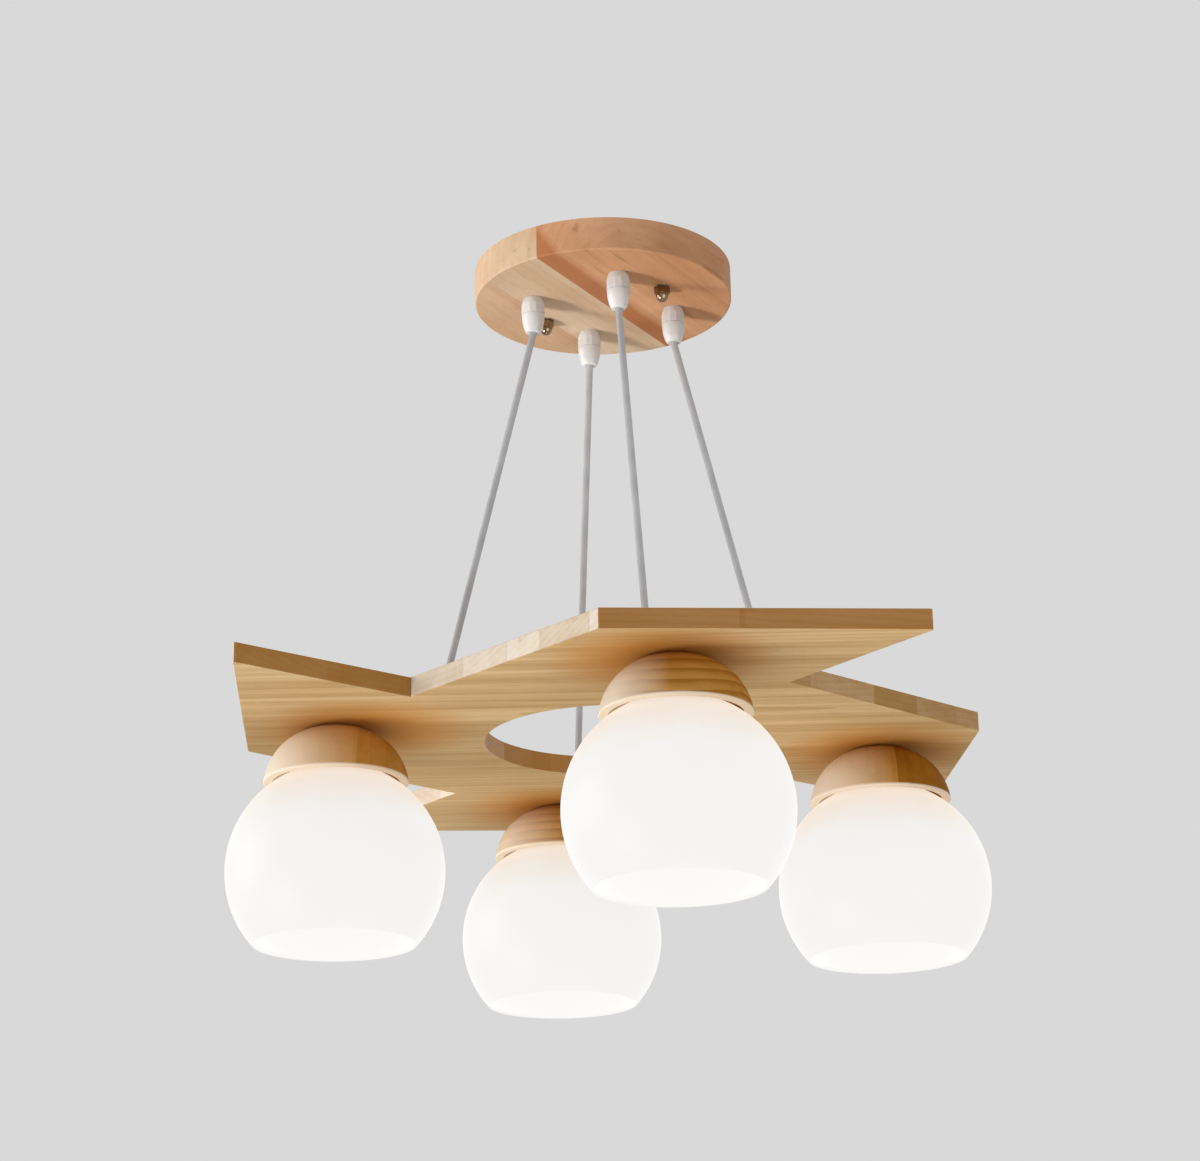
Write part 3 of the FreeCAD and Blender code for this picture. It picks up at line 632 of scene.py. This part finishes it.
def measured(tree, operation, place, other):
    """One number from two vectors, such as their distance."""
    return put(tree, "ShaderNodeVectorMath", {0: place, 1: other}, operation=operation).outputs["Value"]


def stretched(tree, place, x, y, z):
    """Coordinates multiplied by three numbers."""
    return put(tree, "ShaderNodeVectorMath", {0: place, 1: (x, y, z)}, operation="MULTIPLY").outputs[0]


def pattern_space(tree, place, turn=(0, 0, 0), centre=(0, 0, 0)):
    """Object coordinates on a pattern's own axes, which are turned and moved."""
    return put(tree, "ShaderNodeMapping", {"Vector": place, "Location": centre, "Rotation": turn},
               vector_type="TEXTURE").outputs[0]


def noise(tree, place, scale=1.0, detail=2.0, roughness=0.5):
    """Soft cloudy noise, as a number around one half."""
    return put(tree, "ShaderNodeTexNoise", {"Vector": place, "Scale": scale, "Detail": detail,
                                            "Roughness": roughness}).outputs["Fac"]


# %% Start a finish and raise its surface
def start_finish(name, roughness=0.5, metallic=0.0):
    """A new material with its tree, its shader and its object coordinates."""
    material = bpy.data.materials.new(name)
    material.use_nodes = True
    tree = material.node_tree
    shader = tree.nodes["Principled BSDF"]
    shader.inputs["Roughness"].default_value = roughness
    shader.inputs["Metallic"].default_value = metallic
    return material, tree, shader, put(tree, "ShaderNodeTexCoord").outputs


def raise_surface(tree, shader, height, strength, distance):
    """Give a surface its small relief."""
    bump = put(tree, "ShaderNodeBump", {"Height": height, "Strength": strength, "Distance": distance})
    tree.links.new(bump.outputs["Normal"], shader.inputs["Normal"])


# %% [markdown]
# # Glued-up timber
# Board, canopy and cups are turned or sawn from pale hardwood strips that are glued edge to edge. A
# flat picture of grain would smear on the edges, so the timber is solid: growth rings lie round an
# axis along the grain, and each strip has its own rings, tone and cut. The same rings then give long
# lines on the faces, and arcs on the end grain. Fine fibres, pores and a thin dark line at each glued
# joint go on top.

# %% Lay the strips side by side
MIDDLE_TONE = 0.6
EDGE_FADE = 2.1
TONE_SPREAD = 0.15


def strip_ramp(tree, across, strips):
    """One colour for each strip: its tone in red, and where its log's heart lay in green and blue."""
    reach = sum(width for width, *_ in strips) / 2
    ramp = put(tree, "ShaderNodeValToRGB", {"Fac": between(tree, across, -reach, reach)})
    ramp.color_ramp.interpolation = "CONSTANT"
    edge = 0.0
    for number, (width, *colour) in enumerate(strips):
        share = edge / (2 * reach)
        stop = ramp.color_ramp.elements[0] if number == 0 else ramp.color_ramp.elements.new(share)
        stop.position = share
        stop.color = (*colour, 1)
        edge += width
    ramp.color_ramp.elements.remove(ramp.color_ramp.elements[len(strips)])
    return ramp.outputs["Color"]


def sawn_strips(seed, total, narrow, wide):
    """Strips of uneven width and tone that fill a width, the same ones each time."""
    chance = random.Random(seed)
    strips = []
    while sum(width for width, *_ in strips) < total:
        strips.append((chance.uniform(narrow, wide), chance.random(), chance.random(), chance.random()))
    return strips


def deeper_inside(strips):
    """The same strips in quieter tones: the deepest lies in the middle, and the palest at the edges."""
    place = -sum(width for width, *_ in strips) / 2
    quieter = []
    for width, tone, *heart in strips:
        away = abs(place + width / 2)
        quieter.append((width, MIDDLE_TONE - EDGE_FADE * away + TONE_SPREAD * (tone - 0.5), *heart))
        place += width
    return quieter


# %% Grow the rings
LOG_SHIFT = 0.7
LOG_DRIFT = 0.14
RING_SCALE = 0.314
LATE_SHARPNESS = 2.2


def growth(tree, axes, strip, ring, beside, below):
    """A place in its strip's own log, and how dark the late wood of the rings is there."""
    heart_y = reckon(tree, "ADD", axes["Y"], between(tree, strip["Green"], 0, 1, *beside))
    heart_z = reckon(tree, "ADD", axes["Z"], between(tree, strip["Blue"], 0, 1, *below))
    along = reckon(tree, "MULTIPLY_ADD", strip["Blue"], LOG_SHIFT, axes["X"])
    log = put(tree, "ShaderNodeCombineXYZ", {"X": reckon(tree, "MULTIPLY", along, LOG_DRIFT),
                                             "Y": heart_y, "Z": heart_z}).outputs[0]
    rings = put(tree, "ShaderNodeTexWave", {"Vector": log, "Scale": RING_SCALE / ring, "Distortion": 5.0,
                                            "Detail": 2.5, "Detail Scale": 0.22, "Detail Roughness": 0.55},
                wave_type="RINGS", rings_direction="X", wave_profile="SAW").outputs["Fac"]
    return log, reckon(tree, "POWER", rings, LATE_SHARPNESS)


# %% Lay the grain on the rings
CLOUD_SCALE = (40, 22, 22)
STREAK_SCALE = (2.5, 95, 95)
FIBRE_SCALE = (7, 330, 330)
FLECK_SCALE = (14, 110, 110)
PORE_SCALE = (110, 1900, 1900)
JOINT_LINE = 0.25 * MM
JOINT_STEP = 0.001
JOINT_SHADE = 0.3
PORE_SHADE = 0.14
END_FACING = (0.65, 0.74)
END_GRAIN = 0.35
END_BLOCKS = 0.6
WOOD_ROUGHNESS = (0.48, 0.62)
WOOD_GLOSS = 0.03
WOOD_RELIEF = 0.12 * MM
end_painted_light = paint(246, 236, 220)
end_deep = paint(194, 156, 116)
pore_brown = paint(96, 58, 30)


def timber(name, pale, deep, strips, turn=(0, 0, 0), centre=(0, 0, 0), ring=4.5 * MM, contrast=0.5,
           marks=(0.25, 0.42, 0.16, 0.28), flecks=0.15, beside=(0.0, 0.22), below=(0.0, 0.09),
           end_share=0.0):
    """A satin wood finish. The grain runs along the pattern's own X, and the strips lie along its Y.
    The marks are the shares of clouds, streaks, fibres and rings in the grain. Each strip was sawn from
    its own log, whose heart lay so far beside it and below it."""
    material, tree, shader, spot = start_finish(name)
    own = pattern_space(tree, spot["Object"], turn, centre)
    axes = parts(tree, own)
    strip = channels(tree, strip_ramp(tree, axes["Y"], strips))
    neighbour = channels(tree, strip_ramp(tree, reckon(tree, "ADD", axes["Y"], JOINT_LINE), strips))
    step = reckon(tree, "SUBTRACT", strip["Green"], neighbour["Green"])
    joint = reckon(tree, "GREATER_THAN", reckon(tree, "ABSOLUTE", step), JOINT_STEP)

    log, late_wood = growth(tree, axes, strip, ring, beside, below)
    cloud = noise(tree, stretched(tree, log, *CLOUD_SCALE), detail=1.0)
    streak = noise(tree, stretched(tree, own, *STREAK_SCALE), detail=3.0, roughness=0.6)
    fibre = noise(tree, stretched(tree, own, *FIBRE_SCALE), detail=4.0, roughness=0.7)
    fleck = between(tree, noise(tree, stretched(tree, own, *FLECK_SCALE)), 0.64, 0.74)
    pore = between(tree, noise(tree, stretched(tree, own, *PORE_SCALE), detail=0.0), 0.64, 0.72)
    grain = reckon(tree, "MULTIPLY", late_wood, marks[3])
    for pattern, mark in zip((cloud, streak, fibre), marks):
        grain = reckon(tree, "MULTIPLY_ADD", between(tree, pattern, 0.3, 0.7), mark, grain)
    grain = reckon(tree, "MULTIPLY", grain, contrast * 2)
    early = mixed(tree, strip["Red"], pale[0], deep[0])
    late = mixed(tree, strip["Red"], pale[1], deep[1])
    colour = mixed(tree, grain, early, late)

    grain_way = Euler(turn).to_matrix() @ Vector((1, 0, 0))
    facing = reckon(tree, "ABSOLUTE", measured(tree, "DOT_PRODUCT", spot["Normal"], grain_way))
    # End faces are painted pale: painted light that stands for the lit end of the board. Their tones still
    # follow the grain and the blocks.
    end_on = between(tree, facing, *END_FACING, 0.0, end_share)
    block_tone = reckon(tree, "MULTIPLY", strip["Blue"], END_BLOCKS)
    end_tone = reckon(tree, "MULTIPLY_ADD", grain, END_GRAIN, block_tone)
    colour = mixed(tree, end_on, colour, mixed(tree, end_tone, end_painted_light, end_deep))

    shade = reckon(tree, "MULTIPLY", joint, JOINT_SHADE)
    for mark, depth in ((pore, PORE_SHADE), (fleck, flecks)):
        shade = reckon(tree, "MAXIMUM", reckon(tree, "MULTIPLY", mark, depth), shade)
    tree.links.new(mixed(tree, shade, colour, pore_brown), shader.inputs["Base Color"])
    tree.links.new(between(tree, fibre, 0.25, 0.75, *WOOD_ROUGHNESS), shader.inputs["Roughness"])
    shader.inputs["Specular IOR Level"].default_value = WOOD_GLOSS
    relief = reckon(tree, "MULTIPLY_ADD", late_wood, 0.4, reckon(tree, "SUBTRACT", fibre, shade))
    raise_surface(tree, shader, relief, strength=0.25, distance=WOOD_RELIEF)
    return material


# %% Mix the timbers of canopy and board
board_pale = (paint(231, 202, 156), paint(192, 155, 104))
board_deep = (paint(208, 172, 120), paint(160, 120, 68))
canopy_pale = (paint(207, 184, 158), paint(185, 150, 116))
canopy_deep = (paint(211, 146, 99), paint(172, 104, 58))

canopy_grain = math.radians(59.7)
canopy_strips = [(98 * MM, 0.6, 0.30, 0.40), (50 * MM, 0.0, 0.15, 0.20), (50 * MM, 0.2, 0.80, 0.55)]
board_strips = deeper_inside(sawn_strips(seed=7, total=530 * MM, narrow=24 * MM, wide=44 * MM))

timbers = {
    "canopy": timber("canopy_timber", canopy_pale, canopy_deep, canopy_strips, turn=(0, 0, canopy_grain),
                     ring=8 * MM, marks=(0.5, 0.3, 0.1, 0.14), flecks=0.3),
    "board": timber("board_timber", board_pale, board_deep, board_strips, contrast=0.6, end_share=1.0),
}

# %% Mix the timbers of the cups
cup_pale = (paint(230, 180, 104), paint(196, 138, 56))
cup_deep = (paint(168, 110, 32), paint(118, 70, 8))
cup_strips = {1: [(62 * MM, 0.52, 0.2, 0.3), (60 * MM, 0.78, 0.7, 0.6)],
              2: [(49 * MM, 1.0, 0.3, 0.2), (16 * MM, 0.55, 0.7, 0.6), (17 * MM, 0.4, 0.1, 0.5),
                  (34 * MM, 0.3, 0.9, 0.1)],
              3: [(70 * MM, 0.4, 0.5, 0.8), (50 * MM, 0.7, 0.1, 0.3)],
              4: [(40 * MM, 0.55, 0.6, 0.4), (76 * MM, 0.25, 0.6, 0.4)]}
grain_crosswise = {"ring": 7 * MM, "contrast": 0.8, "marks": (0.1, 0.25, 0.1, 0.7),
                   "beside": (0.0, 0.05), "below": (0.1, 0.16)}
grain_lengthwise = {"turn": (0, 0, math.pi / 2), "ring": 11 * MM, "marks": (0.4, 0.3, 0.14, 0.18),
                    "beside": (0.16, 0.3), "below": (-0.03, 0.0)}
cup_grain = {1: grain_crosswise, 2: grain_lengthwise, 3: grain_crosswise, 4: grain_lengthwise}
cup_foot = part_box("wood_cup_1")[0].z
for lamp in LAMPS:
    axis = quarter_turn(lamp_axis, lamp)
    timbers[lamp] = timber(f"cup_timber_{lamp}", cup_pale, cup_deep, cup_strips[lamp],
                           centre=(axis.x, axis.y, cup_foot), **cup_grain[lamp])
print("timbers:", sorted(str(key) for key in timbers))

# %% [markdown]
# # Darker bands, painted light and painted shade
# A darker band lies beside the canopy's joint, and runs out on the rim as a wedge. The board's
# underside is painted warm round each cup, as painted glow and shade. Its long edges and its front right
# end are painted browner, as painted shade, and the wall of its hole is browner than its faces. Each cup
# is painted pale on one side and on its lip, as painted light.

# %% Darken the canopy beside its joint
STREAK_WIDTH = 17 * MM
STREAK_EDGE = 4 * MM
STREAK_WAVER = 5 * MM
STREAK_SHARE = 0.7
FULL_WIDTH_RISE = 1 * MM
streak_brown = paint(156, 90, 48)


def tint_or_paint_light(material, share, colour):
    """Mix another colour into a finish, as far as a share that nodes work out."""
    tree = material.node_tree
    base = tree.nodes["Principled BSDF"].inputs["Base Color"]
    tree.links.new(mixed(tree, share, base.links[0].from_socket, colour), base)


streak_joint = canopy_strips[0][0] - sum(width for width, *_ in canopy_strips) / 2
tree = timbers["canopy"].node_tree
own = pattern_space(tree, put(tree, "ShaderNodeTexCoord").outputs["Object"], (0, 0, canopy_grain))
axes = parts(tree, own)
unevenness = noise(tree, stretched(tree, own, 25, 60, 60))
wave = reckon(tree, "MULTIPLY_ADD", unevenness, STREAK_WAVER, -STREAK_WAVER / 2)
width = between(tree, axes["Z"], canopy_bottom + FULL_WIDTH_RISE, 0.0, STREAK_WIDTH, 0.0)
beside = reckon(tree, "SUBTRACT", streak_joint, axes["Y"])
past = reckon(tree, "SUBTRACT", reckon(tree, "ADD", beside, wave), width)
streak = reckon(tree, "MULTIPLY", between(tree, past, -STREAK_EDGE, STREAK_EDGE, 1.0, 0.0),
                reckon(tree, "GREATER_THAN", beside, 0.0))
tint_or_paint_light(timbers["canopy"], reckon(tree, "MULTIPLY", streak, STREAK_SHARE), streak_brown)

# %% Paint glow and shade on the board round the cups
GLOW_SHADE_START = 30 * MM
GLOW_SHADE_END = 78 * MM
FAR_AWAY = 1.0
glow_shade_shift = {1: -8 * MM, 2: 0.0, 3: 0.0, 4: 22 * MM}
painted_glow_orange = paint(207, 145, 70)

tree = timbers["board"].node_tree
spot = put(tree, "ShaderNodeTexCoord").outputs
row = parts(tree, spot["Object"])["Y"]
facing = parts(tree, spot["Normal"])
flat_spot = stretched(tree, spot["Object"], 1, 1, 0)
nearest = FAR_AWAY
for lamp in LAMPS:
    axis = quarter_turn(lamp_axis, lamp)
    away = measured(tree, "DISTANCE", flat_spot, (axis.x + glow_shade_shift[lamp], axis.y, 0))
    nearest = reckon(tree, "MINIMUM", away, nearest)
below = between(tree, facing["Z"], -0.9, -0.5, 1.0, 0.0)
# The warm orange round each cup is painted light and shade: the globes' glow and the shade between cup and
# board.
warm = reckon(tree, "MULTIPLY", between(tree, nearest, GLOW_SHADE_START, GLOW_SHADE_END, 1.0, 0.0), below)
tint_or_paint_light(timbers["board"], warm, painted_glow_orange)

# %% Paint shade on the board's edges, and brown the wall of its hole
HOLE_EDGE = 95 * MM
LONG_EDGE_SHADE_SHARE = 0.66
FRONT_EDGE_SHADE_SHARE = 0.3
RIGHT_END_SHADE_SHARES = (0.42, 0.78)
HOLE_SHARE = 0.7
long_edge_shade_brown = paint(160, 103, 42)
front_edge_shade_brown = paint(146, 90, 26)
right_end_shade_brown = paint(147, 101, 38)
hole_brown = paint(172, 120, 66)

# The long edges and the front face are painted browner: painted shade on the faces that turn from the
# light.
long_edge_shade = between(tree, reckon(tree, "ABSOLUTE", facing["Y"]), 0.75, 0.77, 0.0, LONG_EDGE_SHADE_SHARE)
tint_or_paint_light(timbers["board"], long_edge_shade, long_edge_shade_brown)
front_edge_shade = between(tree, facing["Y"], -0.97, -0.95, FRONT_EDGE_SHADE_SHARE, 0.0)
tint_or_paint_light(timbers["board"], front_edge_shade, front_edge_shade_brown)
# The front right end is painted browner in its blocks' own tones: painted shade over real block tones, on
# the end that turns from the light.
block_tone = channels(tree, strip_ramp(tree, row, board_strips))["Blue"]
brown = between(tree, block_tone, 0, 1, *RIGHT_END_SHADE_SHARES)
shaded_right_end = reckon(tree, "MULTIPLY", reckon(tree, "GREATER_THAN", facing["X"], 0.5),
                   reckon(tree, "LESS_THAN", facing["Y"], -0.5))
tint_or_paint_light(timbers["board"], reckon(tree, "MULTIPLY", shaded_right_end, brown), right_end_shade_brown)
in_hole = reckon(tree, "LESS_THAN", measured(tree, "DISTANCE", flat_spot, (0, 0, 0)), HOLE_EDGE)
upright = reckon(tree, "LESS_THAN", reckon(tree, "ABSOLUTE", facing["Z"]), 0.5)
hole_wall = reckon(tree, "MULTIPLY", reckon(tree, "MULTIPLY", in_hole, upright), HOLE_SHARE)
tint_or_paint_light(timbers["board"], hole_wall, hole_brown)

# %% Paint light on one side of each cup and on its lip
LIT_SIDE_START = 40 * MM
LIP_GLOW_HEIGHT = 1.1 * MM
LIP_GLOW_SHARE = 0.78
lit_side_reach = {1: -4 * MM, 2: 6 * MM, 3: 6 * MM, 4: 20 * MM}
lit_side_share = {1: 0.88, 2: 0.88, 3: 0.72, 4: 0.98}
painted_light_cream = paint(233, 219, 200)
lip_glow_cream = paint(248, 234, 214)

for lamp in LAMPS:
    tree = timbers[lamp].node_tree
    axes = parts(tree, put(tree, "ShaderNodeTexCoord").outputs["Object"])
    middle_x = quarter_turn(lamp_axis, lamp).x
    # Each cup's left side is painted pale: painted light on the side that faces the lamps.
    painted_lit_side = between(tree, axes["X"], middle_x - LIT_SIDE_START, middle_x + lit_side_reach[lamp],
                        lit_side_share[lamp], 0.0)
    tint_or_paint_light(timbers[lamp], painted_lit_side, painted_light_cream)
    # The lip is painted pale cream: the globe's glow painted on the wood.
    lip = between(tree, axes["Z"], cup_foot + LIP_GLOW_HEIGHT, cup_foot + 2 * LIP_GLOW_HEIGHT, LIP_GLOW_SHARE, 0.0)
    tint_or_paint_light(timbers[lamp], lip, lip_glow_cream)

# %% [markdown]
# # Glass, plastic, sheath and metal
# The opal glass is lit from inside, so it glows a little and stays just under white. The grips are
# milky nylon that lets light in. Metals get faint brush marks, and the grey sheath a fine matt skin.

# %% Opal and frosted glass
OUTER_LOSS = 0.05
SWIRL = 0.02
GLASS_GLOSS = 0.18
GLASS_RELIEF = 0.2 * MM
WARM_CROWN = 45 * MM


def lit_glass(name, body, warm, cool, low, high, strength, roughness, centre=(0, 0, 0), wall_middle=0.0):
    """White glass that glows from the bulb inside it, warmer towards its top and full inside its wall."""
    material, tree, shader, spot = start_finish(name, roughness)
    cloud = noise(tree, spot["Object"], scale=28.0)
    height = parts(tree, spot["Object"])["Z"]
    uneven_height = reckon(tree, "MULTIPLY_ADD", reckon(tree, "SUBTRACT", cloud, 0.5), SWIRL, height)
    glow = mixed(tree, between(tree, uneven_height, low, high), cool, warm)
    away = measured(tree, "DISTANCE", spot["Object"], centre)
    outside = reckon(tree, "GREATER_THAN", away, wall_middle)
    glow = mixed(tree, reckon(tree, "MULTIPLY", outside, OUTER_LOSS), glow, paint(0, 0, 0))
    shader.inputs["Base Color"].default_value = body
    tree.links.new(glow, shader.inputs["Emission Color"])
    shader.inputs["Emission Strength"].default_value = strength
    shader.inputs["Specular IOR Level"].default_value = GLASS_GLOSS
    raise_surface(tree, shader, cloud, strength=0.1, distance=GLASS_RELIEF)
    return material


# The crown's warmer tint on each globe is painted reflection and shade from the wooden cup over it.
opal = {}
for lamp in LAMPS:
    centre = quarter_turn(Vector((lamp_axis.x, lamp_axis.y, globe_centre)), lamp)
    opal[lamp] = lit_glass(f"opal_{lamp}", body=paint(72, 71, 70), warm=paint(255, 234, 212),
                           cool=paint(255, 254, 252), low=glass_high.z - WARM_CROWN, high=glass_high.z,
                           strength=0.88, roughness=0.46, centre=centre, wall_middle=edge_path)
frosted = lit_glass("frosted_bulb", body=paint(236, 233, 228), warm=paint(255, 240, 222),
                    cool=paint(255, 250, 242), low=glass_low.z, high=glass_high.z,
                    strength=0.9, roughness=0.4)

# %% Moulded plastic and sheath
LIGHT_REACH = 2 * MM
SKIN_RELIEF = 0.1 * MM


def moulded(name, colour, roughness, depth=0.0, speck=300.0):
    """A moulded plastic with faint clouding, a fine skin, and light that sinks in where it is milky."""
    material, tree, shader, spot = start_finish(name, roughness)
    cloud = between(tree, noise(tree, spot["Object"], scale=60.0), 0.35, 0.7)
    skin = noise(tree, spot["Object"], scale=speck, detail=3.0)
    rough = between(tree, skin, 0.3, 0.7, roughness - 0.06, roughness + 0.08)
    tree.links.new(mixed(tree, cloud, colour, darker(colour, 0.86)), shader.inputs["Base Color"])
    tree.links.new(rough, shader.inputs["Roughness"])
    shader.inputs["Subsurface Weight"].default_value = depth
    shader.inputs["Subsurface Radius"].default_value = (1, 1, 1)
    shader.inputs["Subsurface Scale"].default_value = LIGHT_REACH
    raise_surface(tree, shader, skin, strength=0.12, distance=SKIN_RELIEF)
    return material


nylon = moulded("milky_nylon", paint(212, 210, 208), 0.34, depth=0.35)
sheath = moulded("grey_sheath", paint(188, 189, 191), 0.55, speck=900.0)
core = moulded("core_sheath", paint(158, 108, 78), 0.5)
holder = moulded("lampholder_white", paint(236, 233, 226), 0.36)
block = moulded("terminal_block", paint(226, 224, 216), 0.4, depth=0.2)

# %% Metals
BRUSHED_LENGTHWISE = (900.0, 900.0, 60.0)
TURNED_ROUND = (60.0, 60.0, 1500.0)
MARK_RELIEF = 0.05 * MM


def metal(name, colour, roughness, marks=BRUSHED_LENGTHWISE):
    """A metal with fine marks that run one way."""
    material, tree, shader, spot = start_finish(name, roughness, metallic=1.0)
    brush = noise(tree, stretched(tree, spot["Object"], *marks), detail=3.0)
    patch = between(tree, noise(tree, spot["Object"], scale=90.0), 0.35, 0.75)
    rough = between(tree, brush, 0.3, 0.7, roughness * 0.75, roughness * 1.3)
    tree.links.new(mixed(tree, patch, colour, darker(colour, 0.8)), shader.inputs["Base Color"])
    tree.links.new(rough, shader.inputs["Roughness"])
    raise_surface(tree, shader, brush, strength=0.06, distance=MARK_RELIEF)
    return material


nickel = metal("polished_nickel", paint(146, 124, 98), 0.12)
zinc = metal("zinc_plated_steel", paint(168, 171, 175), 0.4)
brass = metal("contact_brass", paint(222, 184, 112), 0.24)
plated = metal("plated_cap", paint(214, 214, 212), 0.22, marks=TURNED_ROUND)

# %% Dress the nodes and the finer pieces
finishes = {"canopy_wood": timbers["canopy"], "board_wood": timbers["board"], "bulb_glass": frosted,
            "grip_nylon": nylon, "cord_sheath": sheath, "core_sheath": core, "polished_nut": nickel,
            "zinc_steel": zinc, "contact_brass": brass, "holder_plastic": holder,
            "bulb_cap_metal": plated, "block_plastic": block}
for lamp in LAMPS:
    finishes[f"wood_cup_{lamp}"] = timbers[lamp]
    finishes[f"glass_shade_{lamp}"] = opal[lamp]
    finishes[f"opal_globe_{lamp}"] = opal[lamp]


def dress(piece, material):
    """Give a piece one finish all over."""
    piece.data.materials.clear()
    piece.data.materials.append(material)


for part in frame["record"]["subparts"]:
    name = part["node"]
    dress(frame["nodes"][name], finishes.get(name) or finishes[part["material_slot"]])
for piece in bpy.data.objects:
    if "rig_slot" in piece:
        dress(piece, finishes.get(piece.name) or finishes[piece["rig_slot"]])
print(len(frame["nodes"]), "nodes and the finer pieces have their finish")

# %% [markdown]
# # Light and backdrop
# The photograph has a pale even backdrop and a broad light from the left, low and in front. It was put
# together from more than one picture: the grips throw clear shadows up to the right across the canopy,
# but the cups throw almost none on the board. So a small strong lamp lights the canopy and its
# fittings alone, and broad soft lamps light the whole. A soft sky fills the shadows. The backdrop is a
# plain colour that only the camera, mirrors and glass see, so it adds no light.

# %% The backdrop
backdrop = paint(217, 217, 217)
sky_level = 0.48


def seen_directly(tree):
    """One where a ray comes from the camera, a mirror or glass, and nought where it carries light."""
    rays = put(tree, "ShaderNodeLightPath").outputs
    return reckon(tree, "MAXIMUM", rays["Is Camera Ray"],
                  reckon(tree, "MAXIMUM", rays["Is Glossy Ray"], rays["Is Transmission Ray"]))


world = bpy.data.worlds.new("room")
bpy.context.scene.world = world
world.use_nodes = True
sky = world.node_tree
sky.nodes.clear()
fill = put(sky, "ShaderNodeBackground", {"Color": (1, 1, 1, 1), "Strength": sky_level})
wall = put(sky, "ShaderNodeBackground", {"Color": backdrop, "Strength": 1.0})
either = put(sky, "ShaderNodeMixShader", {0: seen_directly(sky), 1: fill.outputs[0], 2: wall.outputs[0]})
put(sky, "ShaderNodeOutputWorld", {"Surface": either.outputs[0]})

# %% The floor
floor_drop = 2.5
floor_size = 30.0
floor_lift = 0.4

put_down()
bpy.ops.mesh.primitive_plane_add(size=floor_size, location=(0, 0, -floor_drop))
floor = settle(bpy.context.object, "studio_floor")
floor_finish = bpy.data.materials.new("pale_floor")
floor_finish.use_nodes = True
ground = floor_finish.node_tree
ground.nodes.clear()
lit = put(ground, "ShaderNodeBsdfDiffuse", {"Color": backdrop})
lift_level = reckon(ground, "MULTIPLY", seen_directly(ground), floor_lift)
lift = put(ground, "ShaderNodeEmission", {"Color": backdrop, "Strength": lift_level})
both = put(ground, "ShaderNodeAddShader", {0: lit.outputs[0], 1: lift.outputs[0]})
put(ground, "ShaderNodeOutputMaterial", {"Surface": both.outputs[0]})
dress(floor, floor_finish)


# %% The lamps of the studio
def soft_lamp(name, place, aim, size, power):
    """A square soft box that points at a spot."""
    put_down()
    bpy.ops.object.light_add(type="AREA", location=place)
    light = bpy.context.object
    light.name = name
    light.data.size = size
    light.data.energy = power
    light.rotation_euler = (Vector(aim) - Vector(place)).to_track_quat("-Z", "Y").to_euler()
    light.visible_camera = False
    return light


canopy_middle = (0, 0, 0)
pendant_middle = (0, 0, -0.3)
key_place = (-1.75, -1.05, -1.6)
soft_lamp("key_light", key_place, pendant_middle, size=0.7, power=17.0)
beam = soft_lamp("canopy_light", key_place, canopy_middle, size=0.3, power=32.0)
canopy_side = bpy.data.collections.new("canopy_side")
for piece in bpy.data.objects:
    if piece.name.startswith(("canopy_disc", "grip_", "domed_nut", "nut_washer")):
        canopy_side.objects.link(piece)
beam.light_linking.receiver_collection = canopy_side
soft_lamp("window_light", (-2.2, 0, -0.1), pendant_middle, size=1.2, power=24.0)
soft_lamp("front_fill", (1.2, -1.6, -0.9), pendant_middle, size=1.4, power=12.5)
soft_lamp("up_light", (0.2, -0.3, -1.75), pendant_middle, size=1.0, power=5.5)
soft_lamp("top_light", (0, 0, 1.6), pendant_middle, size=1.6, power=12.0)

# %% Write the colours as they are
bpy.context.scene.view_settings.view_transform = "Standard"
